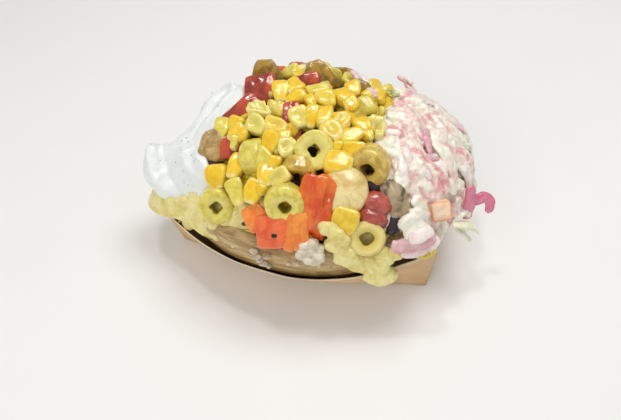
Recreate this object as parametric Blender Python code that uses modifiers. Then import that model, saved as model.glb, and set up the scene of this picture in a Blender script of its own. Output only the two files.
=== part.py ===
"""Loaded baked potato in a kraft paper tray.

A large potato is baked, slit and spread open, and its flesh is mashed in its jacket.  Yoghurt lies
over one end and a cabbage slaw over the other.  Between them is a heap of corn and small dice, with
olive rings, peppers, pickles and mushrooms pressed into it.

Sizes are millimetres here and become metres when a mesh is made.  +X runs along the tray, +Y to its
back and +Z up.  The origin is the middle of the tray's base, which is the face it rests on.
"""

import math

import bmesh
import bpy
from mathutils import Euler, Matrix, Vector, noise

MM = 0.001
GAP = 0.42                      # air left between a piece and what is cut round it
WELD = 0.01                     # points closer than this are one
SHARP = math.radians(40)        # an edge that folds more than this has a crease
ROOM_SIDES = 8                  # sides of the plain room that the masses leave an olive ring

# Paper tray
CARD = 0.7
RIM_HEIGHT = 36.0
BASE_CORNERS = ((-69.0, -37.0), (78.5, -35.0), (78.5, 36.0), (-69.0, 37.0))
RIM_CORNERS = ((-79.5, -39.0), (81.0, -36.0), (81.0, 37.0), (-79.5, 38.0))
BASE_BOW = 6.0                  # how far the base's long edges bow out
FRONT_BULGE = 37.0
BACK_BULGE = 28.0
END_BULGE = 2.5
BULGE_CENTRE = 6.0
BULGE_RISE = 0.7                # below 1 the wall bellies out low down

# Potato jacket
JACKET_CENTRE = (2.0, -5.0)
JACKET_HALF_LENGTH = 75.0
JACKET_HALF_WIDTH = 67.0
WAIST_HEIGHT = 40.0             # height of its widest section
JACKET_DEPTH = 39.6
REST_HEIGHT = CARD + 0.35
BELLY_POWER = 1.8
BELLY_STEPS = 6

# Outer surface of the whole load: half an uneven egg
CROWN = (3.0, 10.0)
CROWN_HEIGHT = 93.0
EDGE_HEIGHT = 48.0
CROWN_LEFT = 88.0
CROWN_RIGHT = 90.0
CROWN_FRONT = 80.0
CROWN_BACK = 51.0

# Yoghurt, seen from above: a lobe over the left end and a smear that runs back from it
YOGHURT_CENTRE = (-59.0, -24.0)
YOGHURT_OUTLINE = ((-37, -50), (-53, -48), (-71, -46), (-83, -38), (-91, -23), (-84, -18),
                   (-73, -14), (-64, -8), (-61, 4), (-64, 15), (-50, 18), (-36, 12), (-36, -3),
                   (-42, -15), (-48, -24), (-49, -33), (-41, -42))

# The way pieces are pressed into the heap: down and to the back
PRESS = Vector((-0.2, 0.7, -0.68)).normalized()

# Colours: base colour and roughness
KRAFT = ((0.58, 0.40, 0.23), 0.85)
SKIN = ((0.36, 0.23, 0.09), 0.55)
MASH = ((0.75, 0.70, 0.32), 0.5)
YOGHURT = ((0.86, 0.88, 0.88), 0.4)
SLAW = ((0.86, 0.78, 0.74), 0.35)
CORN = ((0.86, 0.62, 0.10), 0.3)
OLIVE = ((0.52, 0.48, 0.13), 0.3)
ORANGE_PEPPER = ((0.84, 0.22, 0.04), 0.25)
RED_PEPPER = ((0.50, 0.06, 0.03), 0.25)
PICKLE = ((0.28, 0.20, 0.04), 0.3)
GREEN_PEPPER = ((0.52, 0.46, 0.12), 0.3)
MUSHROOM = ((0.62, 0.52, 0.36), 0.45)
SAUSAGE = ((0.36, 0.05, 0.04), 0.3)
DARK_FRUIT = ((0.04, 0.02, 0.02), 0.25)
CHEESE = ((0.82, 0.78, 0.70), 0.35)
CARROT = ((0.85, 0.36, 0.15), 0.4)
CABBAGE = ((0.80, 0.36, 0.44), 0.35)

# name, x, y, sunk, outer radius, length, hole radius, azimuth and elevation of the cut face
OLIVE_RINGS = (
    ("olive_ring_1", -33, -57, 3.5, 9.4, 11.0, 3.3, -72, 24),
    ("olive_ring_2", 4, -57.5, 2.5, 10.2, 11.5, 3.9, -72, 24),
    ("olive_ring_3", 12, -32, 1.0, 9.6, 8.5, 3.0, -76, 42),
    ("olive_ring_4", 40, -31, 2.5, 10.2, 11.5, 3.6, -92, 16),
    ("olive_ring_5", 45, -58, 0.5, 8.8, 6.0, 3.6, -76, 42),
    ("olive_ring_6", 7, -43, 6.5, 8.8, 8.5, 3.4, -84, -14),
    ("olive_ring_7", -17, -39, 4.5, 9.0, 11.0, 2.8, 5, 15),
    ("olive_ring_8", 3, 34, 3.0, 8.6, 7.5, 3.2, 80, 45),
)

# name, x, y, sunk, width, height, thickness, azimuth and elevation of its face, spin, end taper,
# curl, finish: a flat piece whose height runs up the slope before it is spun
SLICES = (
    ("pepper_orange_1", 19, -56.5, 2.0, 20, 32, 6.5, -76, 30, -10, 0.78, 0.30, ORANGE_PEPPER),
    ("pepper_orange_2", 0.5, -66.5, 0.0, 18, 17.5, 5.5, -76, 38, 5, 0.95, 0.10, ORANGE_PEPPER),
    ("pepper_orange_3", -9.5, -63, 2.0, 13, 13, 5.0, -70, 48, 30, 0.80, 0.15, ORANGE_PEPPER),
    ("pepper_orange_4", 12, -65.5, 2.0, 12, 20, 5.0, -66, 32, -10, 0.90, 0.10, ORANGE_PEPPER),
    ("pepper_red_1", -27, 4, 2.5, 19, 18, 5.0, -80, 55, 12, 0.85, 0.25, RED_PEPPER),
    ("pepper_red_2", -33, -12, 2.5, 12, 23, 4.5, -85, 58, -38, 0.80, 0.20, RED_PEPPER),
    ("pepper_red_3", -30, -33, 2.5, 17, 11, 4.5, -80, 52, 18, 0.75, 0.20, RED_PEPPER),
    ("pepper_red_4", -3, -19, 3.5, 11, 24, 4.5, -80, 60, 6, 0.80, 0.20, RED_PEPPER),
    ("pepper_red_5", -4, 15, 2.5, 14, 7, 4.0, -80, 55, 10, 0.90, 0.10, RED_PEPPER),
    ("pickle_1", -29.5, 20.5, 2.6, 24, 16, 6.0, -72, 40, 4, 0.35, 0.10, PICKLE),
    ("pickle_2", 1, 19.5, 2.4, 25, 18, 6.0, -70, 42, 14, 0.30, 0.10, PICKLE),
    ("pickle_3", 29, 0, 2.0, 14, 11, 7.0, -70, 60, 25, 0.85, 0.10, GREEN_PEPPER),
    ("pickle_4", -13, -11, 2.0, 13, 9, 5.0, -70, 62, -10, 0.80, 0.10, GREEN_PEPPER),
    ("pickle_5", 25, 17, 2.0, 12, 7, 5.0, -70, 55, -30, 0.80, 0.10, PICKLE),
    ("pickle_6", 12, 41, 1.0, 16, 12, 5.0, 84, 50, 20, 0.60, 0.15, PICKLE),
    ("pepper_red_6", -14, 43, 1.0, 17, 13, 5.0, 96, 48, -16, 0.80, 0.20, RED_PEPPER),
    ("pepper_orange_5", -30, 39, 1.5, 15, 15, 5.5, 104, 44, 34, 0.85, 0.20, ORANGE_PEPPER),
    ("mushroom_2", -42, -32, 0.5, 24, 17, 7.0, -84, 48, -12, 0.65, 0.25, MUSHROOM),
    ("mushroom_3", 55.5, -41, 1.5, 13, 22, 6.0, -90, 40, 32, 0.80, 0.15, MUSHROOM),
    ("cabbage_strip_1", 48, 29, -3.5, 9.0, 27, 3.4, -74, 40, 26, 0.75, 0.30, CABBAGE),
    ("cabbage_strip_2", 22, 26, -1.0, 7.5, 22, 3.4, -74, 44, 30, 0.80, 0.25, CABBAGE),
    ("cabbage_leaf", 68, -46, -1.5, 36, 9.0, 4.0, -80, 40, 22, 0.70, 0.30, CABBAGE),
)

# name, x, y, sunk, three half sizes, azimuth, elevation, spin, lumpiness, finish
NUGGETS = (
    ("mushroom_1", 31, -46.5, 3.5, (11.0, 11.5, 7.0), -76, 45, 10, 0.10, MUSHROOM),
    ("sausage_piece", 47, -49, 5.0, (8.2, 9.6, 7.2), -72, 45, -14, 0.06, SAUSAGE),
    ("black_olive", 44, -38, 8.0, (6.0, 6.5, 6.0), -76, 45, 0, 0.06, DARK_FRUIT),
    ("bean_1", 57, -49, 3.0, (4.0, 5.6, 4.0), -76, 45, -20, 0.05, DARK_FRUIT),
    ("bean_2", -40.5, -40, 5.0, (5.2, 3.6, 3.8), -76, 45, 10, 0.05, DARK_FRUIT),
    ("cheese_piece", 20, -68, 0.0, (5.6, 5.8, 5.0), -76, 45, 0, 0.16, CHEESE),
    ("corn_kernel_large", 34, -57, 3.0, (7.4, 7.0, 4.6), -70, 42, -10, 0.05, CORN),
    ("carrot_cube", 77, -31, 0.0, (5.8, 5.4, 5.0), -70, 40, 6, 0.04, CARROT),
    ("mushroom_4", -5, 48, 2.0, (9.0, 7.5, 6.0), 92, 45, 20, 0.10, MUSHROOM),
)


# ---------------------------------------------------------------- shared shape functions

def smooth(edge_0, edge_1, value):
    """0 below edge_0 and 1 above edge_1, with an even rise between them."""
    t = min(max((value - edge_0) / (edge_1 - edge_0), 0.0), 1.0)
    return t * t * (3 - 2 * t)


def hump(x, y, centre, half_x, half_y):
    """A soft round rise of height 1 at the centre."""
    return math.exp(-((x - centre[0]) / half_x) ** 2 - ((y - centre[1]) / half_y) ** 2)


def lumps(x, y, z, cell, seed=0.0):
    """Uneven relief between about -1 and 1, with lumps as wide as the cell."""
    return noise.noise(Vector((x / cell + seed, y / cell - seed, z / cell + 2 * seed)))


def load_height(x, y):
    """Height of the load's outer surface over the point (x, y)."""
    u = (x - CROWN[0]) / (CROWN_LEFT if x < CROWN[0] else CROWN_RIGHT)
    v = (y - CROWN[1]) / (CROWN_FRONT if y < CROWN[1] else CROWN_BACK)
    fall = 0.5 + 0.16 * smooth(0, 60, CROWN[0] - x)
    return EDGE_HEIGHT + (CROWN_HEIGHT - EDGE_HEIGHT) * max(1 - u * u - v * v, 0.0) ** fall


def mash_height(x, y):
    """Height of the mashed flesh under the toppings, with a bank of it bare at the back."""
    u = (x - 2) / 80
    v = (y - 4) / (72 if y < 4 else 62)
    dome = 19 * math.sqrt(max(1 - u * u - v * v, 0.0))
    bank = 22 * hump(x, y, (-10, 33), 24, 13)
    return 51 + dome + bank + 1.2 * lumps(x, y, 0, 15)


def jacket_radius(angle):
    """Half width of the jacket at its waist, in a direction seen from above."""
    length = JACKET_HALF_LENGTH * math.cos(angle)
    width = JACKET_HALF_WIDTH * math.sin(angle)
    uneven = 1 + 0.018 * lumps(2 * math.cos(angle), 2 * math.sin(angle), 0, 1.3, 4.0)
    return math.hypot(length, width) * uneven


# ---------------------------------------------------------------- making objects

def collection(name):
    """A new collection under the scene."""
    made = bpy.data.collections.new(name)
    bpy.context.scene.collection.children.link(made)
    return made


def material(name, finish):
    """A Principled material with the finish's colour and roughness."""
    colour, roughness = finish
    made = bpy.data.materials.new(name)
    made.use_nodes = True
    shader = made.node_tree.nodes["Principled BSDF"]
    shader.inputs["Base Color"].default_value = (*colour, 1.0)
    shader.inputs["Roughness"].default_value = roughness
    shader.inputs["Metallic"].default_value = 0.0
    return made


def object_from(bm, name, where):
    """A mesh object in metres from a bmesh in millimetres."""
    bmesh.ops.scale(bm, vec=(MM, MM, MM), verts=bm.verts)
    bmesh.ops.triangulate(bm, faces=bm.faces)
    mesh = bpy.data.meshes.new(name)
    bm.to_mesh(mesh)
    bm.free()
    made = bpy.data.objects.new(name, mesh)
    where.objects.link(made)
    return made


def finished(made, finish):
    """Gives an object its material and smooth shading."""
    made.data.materials.clear()
    made.data.materials.append(material(made.name, finish))
    made.data.shade_smooth()
    return made


def bake_modifiers(made):
    """Replaces an object's mesh by what its modifiers make of it."""
    depsgraph = bpy.context.evaluated_depsgraph_get()
    mesh = bpy.data.meshes.new_from_object(made.evaluated_get(depsgraph))
    made.modifiers.clear()
    made.data = mesh


def turned(name, where, profile, steps, closed=False):
    """A profile of (radius, height) points turned round Z into one closed skin."""
    bm = bmesh.new()
    line = [bm.verts.new((radius, 0, height)) for radius, height in profile]
    for start, end in zip(line, line[1:] + line[:1] if closed else line[1:]):
        bm.edges.new((start, end))
    made = object_from(bm, name, where)
    turn = made.modifiers.new("turn", "SCREW")
    turn.steps = steps
    turn.render_steps = steps
    turn.merge_threshold = WELD * MM
    turn.use_merge_vertices = True
    bake_modifiers(made)
    return made


def reshape(made, shape):
    """Moves each point of a turned mesh to shape(angle, radius, height), and closes its poles.

    Its faces become triangles, so that a grown copy bends exactly as the mesh does.
    """
    bm = bmesh.new()
    bm.from_mesh(made.data)
    for vert in bm.verts:
        angle = math.atan2(vert.co.y, vert.co.x)
        radius = math.hypot(vert.co.x, vert.co.y) / MM
        vert.co = shape(angle, radius, vert.co.z / MM) * MM
    bmesh.ops.remove_doubles(bm, verts=bm.verts, dist=WELD * MM)
    bmesh.ops.triangulate(bm, faces=bm.faces)
    bmesh.ops.recalc_face_normals(bm, faces=bm.faces)
    bm.to_mesh(made.data)
    bm.free()


def soft_mass(name, where, around, rings_above, rings_below, shape):
    """A closed mass shaped by shape(angle, reach 0 to 1, upper side)."""
    above = [math.radians(90) * step / rings_above for step in range(rings_above)]
    below = [math.radians(90) * step / rings_below for step in range(rings_below + 1)]
    profile = [(math.sin(turn), math.cos(turn)) for turn in above]
    profile += [(math.cos(turn), -math.sin(turn)) for turn in below]
    made = turned(name, where, profile, around)
    reshape(made, lambda angle, reach, height: shape(angle, min(reach, 1.0), height > -0.01))
    return made


def as_cutter(cutter):
    """Marks an object as a cutter, which isn't part of the model."""
    cutter.hide_render = True
    cutter.display_type = "WIRE"
    return cutter


def grown_copy(made, where, by):
    """A cutter: a copy of an object that stands off its surface all round."""
    bm = bmesh.new()
    bm.from_mesh(made.data)
    bm.transform(made.matrix_world)
    bm.normal_update()
    moves = [vert.normal * min(vert.calc_shell_factor(), 1.8) * by * MM for vert in bm.verts]
    for vert, move in zip(bm.verts, moves):
        vert.co += move
    mesh = bpy.data.meshes.new("clear_of_" + made.name)
    bm.to_mesh(mesh)
    bm.free()
    cutter = bpy.data.objects.new(mesh.name, mesh)
    where.objects.link(cutter)
    return as_cutter(cutter)


def box_round(made, where, by):
    """A plain cutter: the box round an object in its own axes, a little larger than it."""
    low, high = corners(made.data.vertices, Matrix())
    bm = bmesh.new()
    bmesh.ops.create_cube(bm, size=1.0)
    bmesh.ops.scale(bm, vec=(high - low) / MM + Vector((2 * by, 2 * by, 2 * by)), verts=bm.verts)
    bmesh.ops.translate(bm, vec=(high + low) / 2 / MM, verts=bm.verts)
    cutter = object_from(bm, "room_for_" + made.name, where)
    cutter.location = made.location
    cutter.rotation_euler = made.rotation_euler
    bpy.context.view_layer.update()
    return as_cutter(cutter)


def corners(verts, turn):
    """Lowest and highest corner of the box round turned vertices."""
    points = [turn @ vert.co for vert in verts]
    low = Vector([min(point[i] for point in points) for i in range(3)])
    high = Vector([max(point[i] for point in points) for i in range(3)])
    return low, high


def boxes_meet(first, second):
    """Whether two objects' boxes overlap."""
    low_a, high_a = corners(first.data.vertices, first.matrix_world)
    low_b, high_b = corners(second.data.vertices, second.matrix_world)
    return all(low_a[i] < high_b[i] and low_b[i] < high_a[i] for i in range(3))


def keep_largest_body(made):
    """Drops crumbs that a cut left loose from an object's main body."""
    bm = bmesh.new()
    bm.from_mesh(made.data)
    bodies = []
    unseen = set(bm.faces)
    while unseen:
        body = {unseen.pop()}
        border = list(body)
        while border:
            beside = {face for edge in border.pop().edges for face in edge.link_faces}
            fresh = beside - body
            body |= fresh
            border.extend(fresh)
        unseen -= body
        bodies.append(body)
    main = max(bodies, key=len)
    bmesh.ops.delete(bm, geom=[face for face in bm.faces if face not in main], context="FACES")
    bm.to_mesh(made.data)
    bm.free()


def cut_clear(made, cutters):
    """Cuts an object clear of the grown copies of the neighbours that it would touch.

    The masses are cut by dozens of rounded pieces, where the exact solver loses the whole mesh,
    so every cut here is made by the manifold solver.
    """
    near = [cutter for cutter in cutters if boxes_meet(made, cutter)]
    for cutter in near:
        cut = made.modifiers.new(cutter.name, "BOOLEAN")
        cut.operation = "DIFFERENCE"
        cut.solver = "MANIFOLD"
        cut.object = cutter
    if near:
        bake_modifiers(made)
        keep_largest_body(made)


# ---------------------------------------------------------------- placing pieces on the load

def facing(azimuth, elevation, spin):
    """Turn that points a piece's local +Z at a direction, its local +Y up the slope."""
    tilt = Euler((math.radians(90 - elevation), 0, math.radians(azimuth + 90)), "XYZ")
    return tilt.to_matrix() @ Matrix.Rotation(math.radians(spin), 3, "Z")


def set_on_load(made, x, y, sunk, turn):
    """Places a piece at the load's surface over (x, y), pressed in by the sunk distance."""
    point = Vector((x, y, load_height(x, y)))
    press = PRESS if y < 25 else Vector((PRESS.x, -PRESS.y, PRESS.z))
    made.location = (point + press * sunk) * MM
    made.rotation_euler = turn.to_euler()
    bpy.context.view_layer.update()


# ---------------------------------------------------------------- tray

def tray_point(along, side, rise):
    """Point on the tray's outer wall: along 0 to 1 on one of four sides, rise 0 to 1."""
    after = (side + 1) % 4
    start = Vector(BASE_CORNERS[side]).lerp(Vector(RIM_CORNERS[side]), rise)
    end = Vector(BASE_CORNERS[after]).lerp(Vector(RIM_CORNERS[after]), rise)
    point = start.lerp(end, along)
    if side in (0, 2):
        ends = sorted((start.x, end.x))
        reach = ends[0 if point.x < BULGE_CENTRE else 1] - BULGE_CENTRE
        across = min((point.x - BULGE_CENTRE) / reach, 1.0)
        swell = (1 - across * across) ** 0.9
        bulge = FRONT_BULGE if side == 0 else BACK_BULGE
        out = swell * (BASE_BOW + (bulge - BASE_BOW) * rise ** BULGE_RISE)
        point.y += -out if side == 0 else out
    else:
        swell = (1 - (2 * along - 1) ** 2) * rise
        point.x += END_BULGE * swell if side == 1 else -END_BULGE * swell
    return Vector((point.x, point.y, RIM_HEIGHT * rise))


def make_tray(where):
    """Folded card tray: a flat base and four walls that the load has pushed out."""
    steps = (12, 3, 12, 3)
    rises = (0.0, 0.3, 0.65, 1.0)
    bm = bmesh.new()
    rows = []
    for rise in rises:
        row = []
        for side, count in enumerate(steps):
            row += [bm.verts.new(tray_point(i / count, side, rise)) for i in range(count)]
        rows.append(row)
    around = len(rows[0])
    for lower, upper in zip(rows, rows[1:]):
        for i in range(around):
            after = (i + 1) % around
            bm.faces.new((lower[i], lower[after], upper[after], upper[i]))
    bm.faces.new(list(reversed(rows[0])))
    bmesh.ops.recalc_face_normals(bm, faces=bm.faces)
    made = object_from(bm, "tray", where)
    wall = made.modifiers.new("card", "SOLIDIFY")
    wall.thickness = CARD * MM
    wall.offset = -1.0
    wall.use_even_offset = True
    bake_modifiers(made)
    finished(made, KRAFT)
    made.data.set_sharp_from_angle(angle=SHARP)
    return made


# ---------------------------------------------------------------- jacket

def jacket_profile():
    """Half section of the jacket, waist radius 1, from its bottom round the rim to its floor."""
    outside = []
    for step in range(BELLY_STEPS + 1):
        angle = math.radians(90) * step / BELLY_STEPS
        radius = math.sin(angle) ** (2 / BELLY_POWER)
        height = WAIST_HEIGHT - JACKET_DEPTH * math.cos(angle) ** (2 / BELLY_POWER)
        outside.append((radius, max(height, REST_HEIGHT)))
    rim = [(0.985, 45.5), (0.945, 50.0), (0.905, 51.2), (0.87, 49.0)]
    inside = [(0.85, 42.0), (0.70, 22.0), (0.0, 10.5)]
    return outside + rim + inside


def make_jacket(where):
    """Baked skin with a layer of flesh, open at the top: a turned bowl drawn out to an oval."""
    def shape(angle, reach, height):
        radius = reach * jacket_radius(angle)
        lift = 2.2 * lumps(3 * math.cos(angle), 3 * math.sin(angle), 0, 1.2, 9.0)
        x = JACKET_CENTRE[0] + radius * math.cos(angle)
        y = JACKET_CENTRE[1] + radius * math.sin(angle)
        return Vector((x, y, height + lift * smooth(34, 50, height)))

    made = turned("potato_jacket", where, jacket_profile(), 26)
    reshape(made, shape)
    return finished(made, SKIN)


# ---------------------------------------------------------------- soft masses

def make_mash(where):
    """Mashed flesh that fills the jacket and spills over its rim at two places in front."""
    def spills(angle):
        degrees = math.degrees(angle)
        far_left = 0.365 * math.exp(-((degrees + 158) / 16) ** 2)
        left = 0.13 * math.exp(-((degrees + 128) / 18) ** 2)
        right = 0.185 * math.exp(-((degrees + 49) / 15) ** 2)
        return far_left, left, right

    def shape(angle, reach, upper):
        far_left, left, right = spills(angle)
        radius = jacket_radius(angle) * (0.895 + far_left + left + right) * reach
        x = JACKET_CENTRE[0] + radius * math.cos(angle)
        y = JACKET_CENTRE[1] + radius * math.sin(angle)
        rim = 49.0 - 46 * far_left - 60 * (left + right) + 1.5 * lumps(x, y, 0, 9, 2.0)
        if upper:
            body = 1 - smooth(0.86, 1.0, reach)
            return Vector((x, y, rim + (mash_height(x, y) - rim) * body ** 0.6))
        return Vector((x, y, 12 + (rim - 12) * reach ** 3.2))

    return finished(soft_mass("mash", where, 28, 5, 2, shape), MASH)


def dome_shape(centre, reach_of, top_of, floor, low_edge, side):
    """Shape of a mass that lies on the mash, with its outline, top, floor and edge height."""
    def shape(angle, reach, upper):
        radius = reach_of(angle) * reach
        x = centre[0] + radius * math.cos(angle)
        y = centre[1] + radius * math.sin(angle)
        edge_x = centre[0] + reach_of(angle) * math.cos(angle)
        edge_y = centre[1] + reach_of(angle) * math.sin(angle)
        edge = max(load_height(edge_x, edge_y) - side, low_edge)
        if upper:
            body = math.sqrt(max(1 - reach ** 3, 0.0))
            top = max(top_of(x, y), floor + 3)
            return Vector((x, y, edge + (top - edge) * body))
        return Vector((x, y, floor + (edge - floor) * reach ** 4))
    return shape


def oval(angle, left, right, front, back):
    """Radius of an oval with four unlike half sizes."""
    along = right if math.cos(angle) > 0 else left
    across = back if math.sin(angle) > 0 else front
    return 1 / math.hypot(math.cos(angle) / along, math.sin(angle) / across)


def outline_radius(angle, outline, centre):
    """Distance from a centre to a straight-sided outline round it, in one direction."""
    way = Vector((math.cos(angle), math.sin(angle)))
    middle = Vector(centre)
    crossings = []
    for start, end in zip(outline, outline[1:] + outline[:1]):
        side = Vector(end) - Vector(start)
        across = way.x * side.y - way.y * side.x
        offset = Vector(start) - middle
        along = (offset.x * side.y - offset.y * side.x) / across
        share = (offset.x * way.y - offset.y * way.x) / across
        if along > 0 and 0 <= share <= 1:
            crossings.append(along)
    return max(crossings)


def make_yoghurt(where):
    """Herbed yoghurt: a folded lobe over the left end and a smear that rises from it."""
    def reach_of(angle):
        return outline_radius(angle, YOGHURT_OUTLINE, YOGHURT_CENTRE)

    def top_of(x, y):
        fold = 1.6 * math.sin((x * 0.55 + y * 0.8) / 5.2)
        lobe = 12 * hump(x, y, (-82, -23), 14, 15)
        return load_height(x, y) - 1.5 + fold + lobe

    shape = dome_shape(YOGHURT_CENTRE, reach_of, top_of, 50, 45, 7)
    return finished(soft_mass("yoghurt", where, 26, 6, 2, shape), YOGHURT)


def make_slaw(where):
    """Cabbage and mayonnaise slaw over the right end, heaped past the tray's end wall."""
    centre = (66, -2)

    def reach_of(angle):
        ragged = 1 + 0.06 * math.sin(9 * angle) + 0.05 * math.sin(14 * angle + 2)
        tucked = 1 - 0.2 * math.exp(-((angle + 0.95) / 0.5) ** 2)
        return oval(angle, 27, 29, 50, 50) * ragged * tucked

    def top_of(x, y):
        ragged = 3.4 * lumps(x, y, 0, 9, 5.0) + 1.5 * lumps(x, y, 0, 4.5, 7.0)
        return load_height(x, y) + 2.5 + ragged

    shape = dome_shape(centre, reach_of, top_of, 50, 44, 9)
    return finished(soft_mass("slaw", where, 24, 6, 2, shape), SLAW)


def make_heap(where):
    """Corn and small dice heaped between the yoghurt and the slaw, out to their uneven tops."""
    centre = (1, -18)

    def reach_of(angle):
        uneven = 1 + 0.03 * math.sin(11 * angle)
        return oval(angle, 56, 52, 48, 56) * uneven

    def top_of(x, y):
        return load_height(x, y) - 2.2 + 2.4 * lumps(x, y, 0, 8, 3.0)

    shape = dome_shape(centre, reach_of, top_of, 56, 50, 7)
    return finished(soft_mass("topping_heap", where, 22, 6, 1, shape), CORN)


# ---------------------------------------------------------------- single toppings

def make_olive_ring(parts, cutters, name, x, y, sunk, outer, length, hole, azimuth, elevation):
    """A slice of a pitted green olive, and its clear space, which keeps its hole open."""
    def shape(angle, radius, height):
        radius *= 1 + 0.035 * math.sin(2 * angle + x)
        return Vector((radius * math.cos(angle), radius * math.sin(angle), height))

    half = length / 2
    belly = [(outer * 0.86, half), (outer * 0.98, half * 0.5), (outer * 0.98, -half * 0.5),
             (outer * 0.86, -half)]
    bore = [(hole * 1.05, -half * 0.9), (hole * 1.05, half * 0.9)]
    made = turned(name, parts, belly + bore, 12, closed=True)
    reshape(made, shape)
    finished(made, OLIVE)
    made.data.set_sharp_from_angle(angle=SHARP)
    around = [(radius + GAP, height * (1 + GAP / half)) for radius, height in belly]
    space = turned("clear_of_" + name, cutters, [(0, half + GAP)] + around + [(0, -half - GAP)], 12)
    reshape(space, shape)
    wide = (outer * 1.02 + GAP) / math.cos(math.pi / ROOM_SIDES)
    ends = [(0, half + GAP), (wide, half + GAP), (wide, -half - GAP), (0, -half - GAP)]
    room = turned("room_for_" + name, cutters, ends, ROOM_SIDES)
    for piece in (made, space, room):
        set_on_load(piece, x, y, sunk, facing(azimuth, elevation, 0))
    return made, as_cutter(space), as_cutter(room)


def make_slice(parts, cutters, name, x, y, sunk, width, height, thickness, azimuth, elevation,
               spin, taper, curl, finish):
    """A cut piece of vegetable: a softened slab that narrows to one end and curls."""
    bm = bmesh.new()
    bmesh.ops.create_cube(bm, size=2.0)
    flat = [edge for edge in bm.edges if abs(edge.verts[0].co.z - edge.verts[1].co.z) < 1]
    bmesh.ops.subdivide_edges(bm, edges=flat, cuts=2, use_grid_fill=True)
    for vert in bm.verts:
        u, v, w = vert.co
        roundness = 1 - 0.08 * (u * u * v * v + (u * u + v * v) * w * w * 0.8)
        narrow = taper + (1 - taper) * (1 - v) / 2
        px = u * width / 2 * roundness * narrow
        py = v * height / 2 * roundness
        pz = w * thickness / 2 * (1 - 0.14 * (u * u + v * v) / 2)
        pz -= curl * (px * px / width + py * py / height)
        ripple = 0.10 * thickness
        pz += ripple * lumps(px + x, py + y, 0, 6.0)
        px += ripple * lumps(py + x, pz, py, 5.0, 3.0)
        vert.co = (px, py, pz)
    made = object_from(bm, name, parts)
    finished(made, finish)
    made.data.set_sharp_from_angle(angle=SHARP)
    set_on_load(made, x, y, sunk, facing(azimuth, elevation, spin))
    return made, grown_copy(made, cutters, GAP), box_round(made, cutters, GAP)


def make_nugget(parts, cutters, name, x, y, sunk, halves, azimuth, elevation, spin, lumpy,
                finish):
    """A rounded piece, such as a mushroom, a bean or a crumb of cheese."""
    bm = bmesh.new()
    bmesh.ops.create_uvsphere(bm, u_segments=8, v_segments=5, radius=1.0)
    for vert in bm.verts:
        fullness = 1 + lumpy * 2 * lumps(vert.co.x, vert.co.y, vert.co.z, 0.9, x)
        vert.co = Vector([vert.co[i] * halves[i] * fullness for i in range(3)])
    made = object_from(bm, name, parts)
    finished(made, finish)
    set_on_load(made, x, y, sunk, facing(azimuth, elevation, spin))
    space = grown_copy(made, cutters, GAP)
    return made, space, space


def make_toppings(parts, cutters):
    """All single toppings, the ones that keep their whole shape first.

    Each comes with its clear space among the other toppings, and with the plainer room that
    the soft masses leave it.
    """
    made = [make_olive_ring(parts, cutters, *row) for row in OLIVE_RINGS]
    made += [make_nugget(parts, cutters, *row) for row in NUGGETS]
    made += [make_slice(parts, cutters, *row) for row in SLICES]
    return made


# ---------------------------------------------------------------- assembly

def main():
    """Builds the tray, the jacket, the masses and the toppings, each clear of the others."""
    for old in list(bpy.data.objects):
        bpy.data.objects.remove(old, do_unlink=True)
    parts = collection("loaded_baked_potato")
    cutters = collection("cutters")

    base = [make_tray(parts), make_jacket(parts)]
    masses = [make_yoghurt(parts), make_slaw(parts), make_mash(parts), make_heap(parts)]
    toppings = make_toppings(parts, cutters)
    taken = [grown_copy(piece, cutters, GAP) for piece in base]
    rooms = taken + [room for _, _, room in toppings]
    for piece, space, _ in toppings:
        cut_clear(piece, taken)
        taken.append(space)
    spaces = [grown_copy(piece, cutters, GAP) for piece in masses]
    for piece, space in zip(masses, spaces):
        cut_clear(piece, rooms)
        rooms.append(space)


main()
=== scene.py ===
import logging
import math
import random
from collections.abc import Callable, Sequence
from dataclasses import dataclass, field
from enum import Enum
from typing import Any

import bmesh
import bpy
import numpy as np
from mathutils import Euler, Matrix, Vector, kdtree, noise


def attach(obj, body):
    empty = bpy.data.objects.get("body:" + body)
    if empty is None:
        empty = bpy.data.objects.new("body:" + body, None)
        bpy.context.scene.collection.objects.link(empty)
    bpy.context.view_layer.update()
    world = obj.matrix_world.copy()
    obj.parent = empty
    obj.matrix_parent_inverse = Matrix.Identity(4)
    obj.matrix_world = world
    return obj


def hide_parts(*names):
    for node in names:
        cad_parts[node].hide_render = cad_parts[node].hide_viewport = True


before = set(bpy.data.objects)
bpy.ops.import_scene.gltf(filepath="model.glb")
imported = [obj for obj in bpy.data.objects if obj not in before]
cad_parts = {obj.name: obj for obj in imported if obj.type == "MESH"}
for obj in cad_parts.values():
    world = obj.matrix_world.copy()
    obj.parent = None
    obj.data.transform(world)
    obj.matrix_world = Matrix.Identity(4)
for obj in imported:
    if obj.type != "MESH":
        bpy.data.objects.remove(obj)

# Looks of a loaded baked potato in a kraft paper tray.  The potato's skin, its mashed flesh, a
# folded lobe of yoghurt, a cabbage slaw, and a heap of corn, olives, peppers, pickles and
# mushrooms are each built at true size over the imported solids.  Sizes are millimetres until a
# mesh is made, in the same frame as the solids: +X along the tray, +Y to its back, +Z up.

log = logging.getLogger("loaded_potato")

Colour = tuple[float, float, float]
Point = tuple[float, float, float]
Flat = tuple[float, float]

MM = 0.001
BODY = "root"
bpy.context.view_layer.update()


# ---------------------------------------------------------------- numbers

def tint(red: int, green: int, blue: int) -> Colour:
    """Linear colour from display values of 0 to 255."""
    return tuple(((value / 255 + 0.055) / 1.055) ** 2.4 if value > 10 else value / 3295
                 for value in (red, green, blue))


def smooth(low: float, high: float, value: np.ndarray | float) -> np.ndarray | float:
    """0 below low and 1 above high, with an even rise between them."""
    t = np.clip((value - low) / (high - low), 0.0, 1.0)
    return t * t * (3 - 2 * t)


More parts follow.
